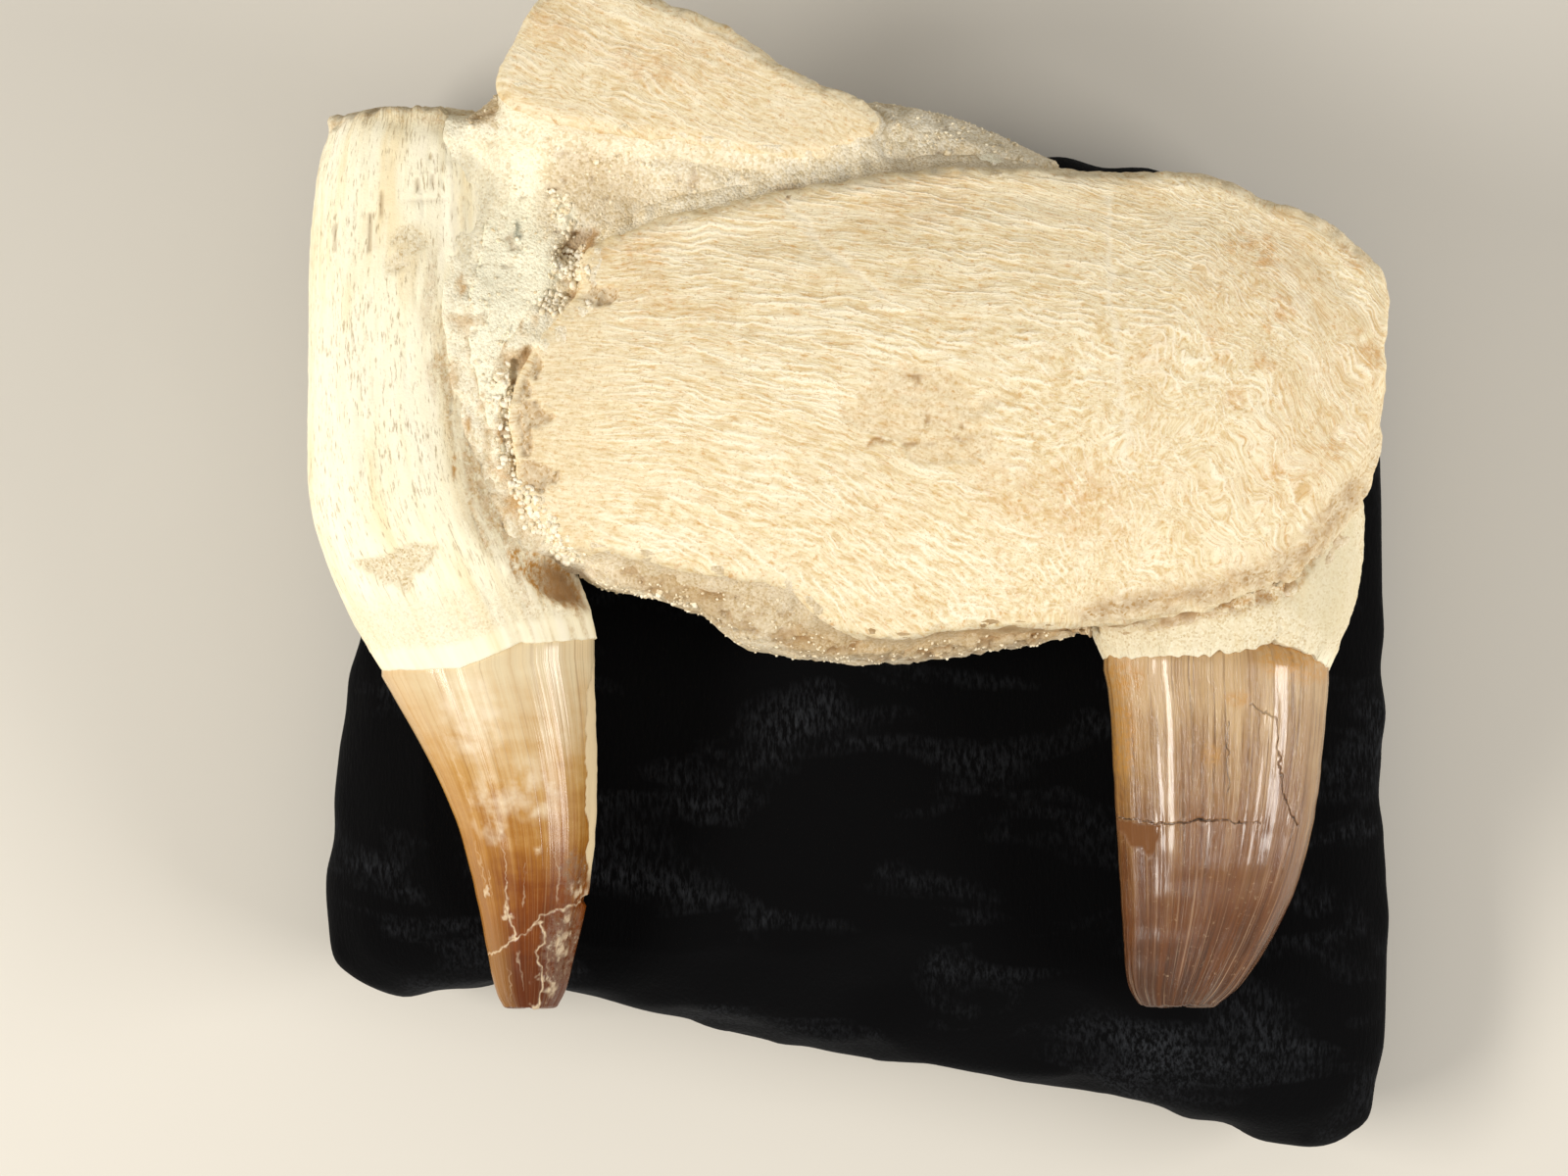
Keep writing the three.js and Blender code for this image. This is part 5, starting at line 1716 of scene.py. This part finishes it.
def fill_out(piece, cushion):
    """Lets the filling push the cover out, and holds each point within the farthest that it may move."""
    before = places(piece.data)
    cloth = piece.modifiers.new("filling", "CLOTH")
    settings = cloth.settings
    settings.use_pressure = True
    settings.uniform_pressure_force = cushion.pressure
    settings.effector_weights.gravity = 0
    scene = bpy.context.scene
    for step in range(1, FILLING_STEPS + 1):
        scene.frame_set(step)
    settled(piece)
    scene.frame_set(1)
    moved = places(piece.data) - before
    far = np.linalg.norm(moved, axis=1, keepdims=True)
    limit = cushion.movement / MM
    put(piece.data, before + moved * np.minimum(1, limit / np.maximum(far, 1e-9)))


def black_velvet():
    """Cotton velvet with a short dense pile: near black, with a painted grey sheen where the pile lies over.
    """
    cushion = look("cushion_look")
    material, tree, place, _ = fresh_material("black cotton velvet")
    # Strokes where a hand has turned the pile, 10 to 25 mm long, and the tufts, 0.6 mm apart: real
    # ones are closer, and are drawn as coarse as shows.
    strokes = add(tree, "Mapping", {"Vector": place, "Rotation": (0, 0, 0.5), "Scale": (1, 2.6, 1)})
    strokes = add(tree, "TexNoise", {"Vector": strokes, "Scale": per(24), "Detail": 3, "Distortion": 0.6})
    sheen_stroke = add(tree, "MapRange", (strokes, 0.5, 0.76))
    tufts = add(tree, "Mapping", {"Vector": place, "Rotation": (0, 0, 0.7), "Scale": (1, 0.3, 1)})
    tufts = add(tree, "TexNoise", {"Vector": tufts, "Scale": per(0.5), "Detail": 2, "Roughness": 0.7})
    tuft = add(tree, "MapRange", (tufts, 0.42, 0.7))
    # Where a stroke meets a tuft, grey is mixed into the black: a painted sheen of light on the pile.
    caught = add(tree, "Math", (sheen_stroke, tuft), operation="MULTIPLY")
    pile = {"Factor_Float": caught, "A_Color": cushion.pile_colour, "B_Color": "#303236"}
    colour = add(tree, "Mix", pile, data_type="RGBA")
    bump = add(tree, "Bump", {"Strength": 0.5, "Distance": 0.3 * MM, "Height": tufts})
    finish = {"Base Color": colour, "Roughness": 1, "Specular IOR Level": 0.05, "Normal": bump}
    finish |= {"Sheen Weight": 0.09, "Sheen Roughness": 0.5, "Sheen Tint": cushion.sheen_colour}
    add(tree, "OutputMaterial", (add(tree, "BsdfPrincipled", finish),))
    return material


class FOSSIL_OT_cushion(bpy.types.Operator):
    """Makes the velvet cushion and fills it"""

    bl_idname = "fossil.cushion"
    bl_label = "Velvet cushion"

    def execute(self, context):
        cushion = look("cushion_look")
        low, high = (np.array(corner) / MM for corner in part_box("cushion"))
        middle = (low + high) / 2
        piece = evenly_faced("velvet_cushion", "cushion", cushion.face / MM)
        points = places(piece.data)
        put(piece.data, middle + (points - middle) * (0.965, 0.965, 0.9))
        fill_out(piece, cushion)
        rounder = piece.modifiers.new("rounder", "SUBSURF")
        rounder.levels = rounder.render_levels = 2
        settled(piece)
        mesh = piece.data
        points, facing = places(mesh), facings(mesh)
        corner, across = points.min(0)[:2], np.ptp(points, axis=0)[:2]
        points[:, :2] = low[:2] + 0.5 + (points[:, :2] - corner) * (high - low - 1)[:2] / across
        # The seam runs round the sides about 12 mm up, and its gathers reach 5 mm from its thread.
        from_seam = points[:, 2] - (12 + 0.6 * noise(points, (25, 25, 90), 401))
        side = smoothstep(np.abs(facing[:, 2]), 0.95, 0.5)
        near, thread = (np.exp(-((from_seam / width) ** 2)) * side for width in (5.0, 0.9))
        gathers = noise(points * (1, 1, 0.15), 5.5, 403)
        height = cushion.pucker / MM * near * gathers - 1.1 * thread + 0.35 * noise(points, 19, 405)
        points = points + facing * height[:, None]
        points[:, 2] = np.clip(points[:, 2], low[2] + 0.05, high[2] - 0.05)
        put(mesh, points)
        finish_piece(piece, black_velvet(), "velvet", "cushion")
        return {"FINISHED"}


# ---- Stage -------------------------------------------------------------------------------------


def aimed(name, data, at, to):
    """A light or camera at a place, in millimetres, that points at another."""
    thing = bpy.data.objects.new(name, data)
    bpy.context.scene.collection.objects.link(thing)
    thing.location = Vector(at) * MM
    thing.rotation_euler = (Vector(to) - Vector(at)).to_track_quat("-Z", "Y").to_euler()
    return thing


def soft_light(name, power, size, at, colour):
    light = bpy.data.lights.new(name, "AREA")
    light.shape = "RECTANGLE"
    light.size, light.size_y = (side * MM for side in size)
    light.energy = power
    light.color = linear(colour)
    return aimed(name, light, at, (-8, 5, 40))


class FOSSIL_OT_stage(bpy.types.Operator):
    """Makes the floor, the lights and the camera"""

    bl_idname = "fossil.stage"
    bl_label = "Stage"

    def execute(self, context):
        stage = look("stage_look")
        scene = context.scene
        shape = bmesh.new()
        bmesh.ops.create_grid(shape, x_segments=1, y_segments=1, size=1.5)
        mesh = bpy.data.meshes.new("floor")
        shape.to_mesh(mesh)
        shape.free()
        floor = new_piece("floor", mesh)
        # Matt painted board: a plain pale floor with a faint unevenness.
        material, tree, place, _ = fresh_material("matt painted board")
        tone = add(tree, "TexNoise", {"Vector": place, "Scale": per(120), "Detail": 2})
        paint = {"Factor_Float": tone, "A_Color": stage.floor_colour, "B_Color": "#d5d1c9"}
        colour = add(tree, "Mix", paint, data_type="RGBA")
        surface = add(tree, "BsdfPrincipled", {"Base Color": colour, "Roughness": 0.9})
        add(tree, "OutputMaterial", (surface,))
        mesh.materials.append(material)

        camera = bpy.data.cameras.new("view")
        camera.sensor_width = 36
        camera.lens = 36 * stage.distance / stage.view_width
        camera.clip_start, camera.clip_end = 0.01, 10
        middle = (-9.6, 5.5, 44)
        scene.camera = aimed("view", camera, (middle[0], middle[1], middle[2] + stage.distance / MM), middle)
        scene.camera.rotation_euler = (0, 0, 0)

        soft_light("left lamp", 3.75, (440, 130), (-490, -130, 440), "#fffaf1")
        soft_light("right lamp", 3.0, (440, 130), (540, -140, 360), "#fffbf4")
        world = bpy.data.worlds.new("pale room")
        world.use_nodes = True
        background = world.node_tree.nodes["Background"]
        background.inputs["Color"].default_value = (*linear("#f3efe8"), 1)
        background.inputs["Strength"].default_value = 0.35
        scene.world = world
        scene.view_settings.view_transform = "Standard"
        return {"FINISHED"}


# ---- Panel and main ----------------------------------------------------------------------------

LOOKS = {
    "bone_look": BoneLook,
    "stone_look": StoneLook,
    "enamel_look": EnamelLook,
    "cushion_look": CushionLook,
    "stage_look": StageLook,
}
STEPS = (
    FOSSIL_OT_bones,
    FOSSIL_OT_sandstone,
    FOSSIL_OT_roots,
    FOSSIL_OT_joints,
    FOSSIL_OT_crowns,
    FOSSIL_OT_cushion,
    FOSSIL_OT_stage,
)


class FOSSIL_PT_panel(bpy.types.Panel):
    """The fossil's sizes and colours, and the steps that make it"""

    bl_label = "Fossil jaw"
    bl_idname = "FOSSIL_PT_panel"
    bl_space_type = "VIEW_3D"
    bl_region_type = "UI"
    bl_category = "Fossil"

    def draw(self, context):
        for name, kind in LOOKS.items():
            box = self.layout.box()
            group = getattr(context.scene, name)
            for value in kind.__annotations__:
                box.prop(group, value)
        for step in STEPS:
            self.layout.operator(step.bl_idname)


def register():
    for kind in (*LOOKS.values(), *STEPS, FOSSIL_PT_panel):
        bpy.utils.register_class(kind)
    for name, kind in LOOKS.items():
        setattr(bpy.types.Scene, name, PointerProperty(type=kind))


def unregister():
    for name in LOOKS:
        delattr(bpy.types.Scene, name)
    for kind in reversed((*LOOKS.values(), *STEPS, FOSSIL_PT_panel)):
        bpy.utils.unregister_class(kind)


def main():
    register()
    for step in STEPS:
        family, name = step.bl_idname.split(".")
        getattr(getattr(bpy.ops, family), name)()


if __name__ == "__main__":
    main()
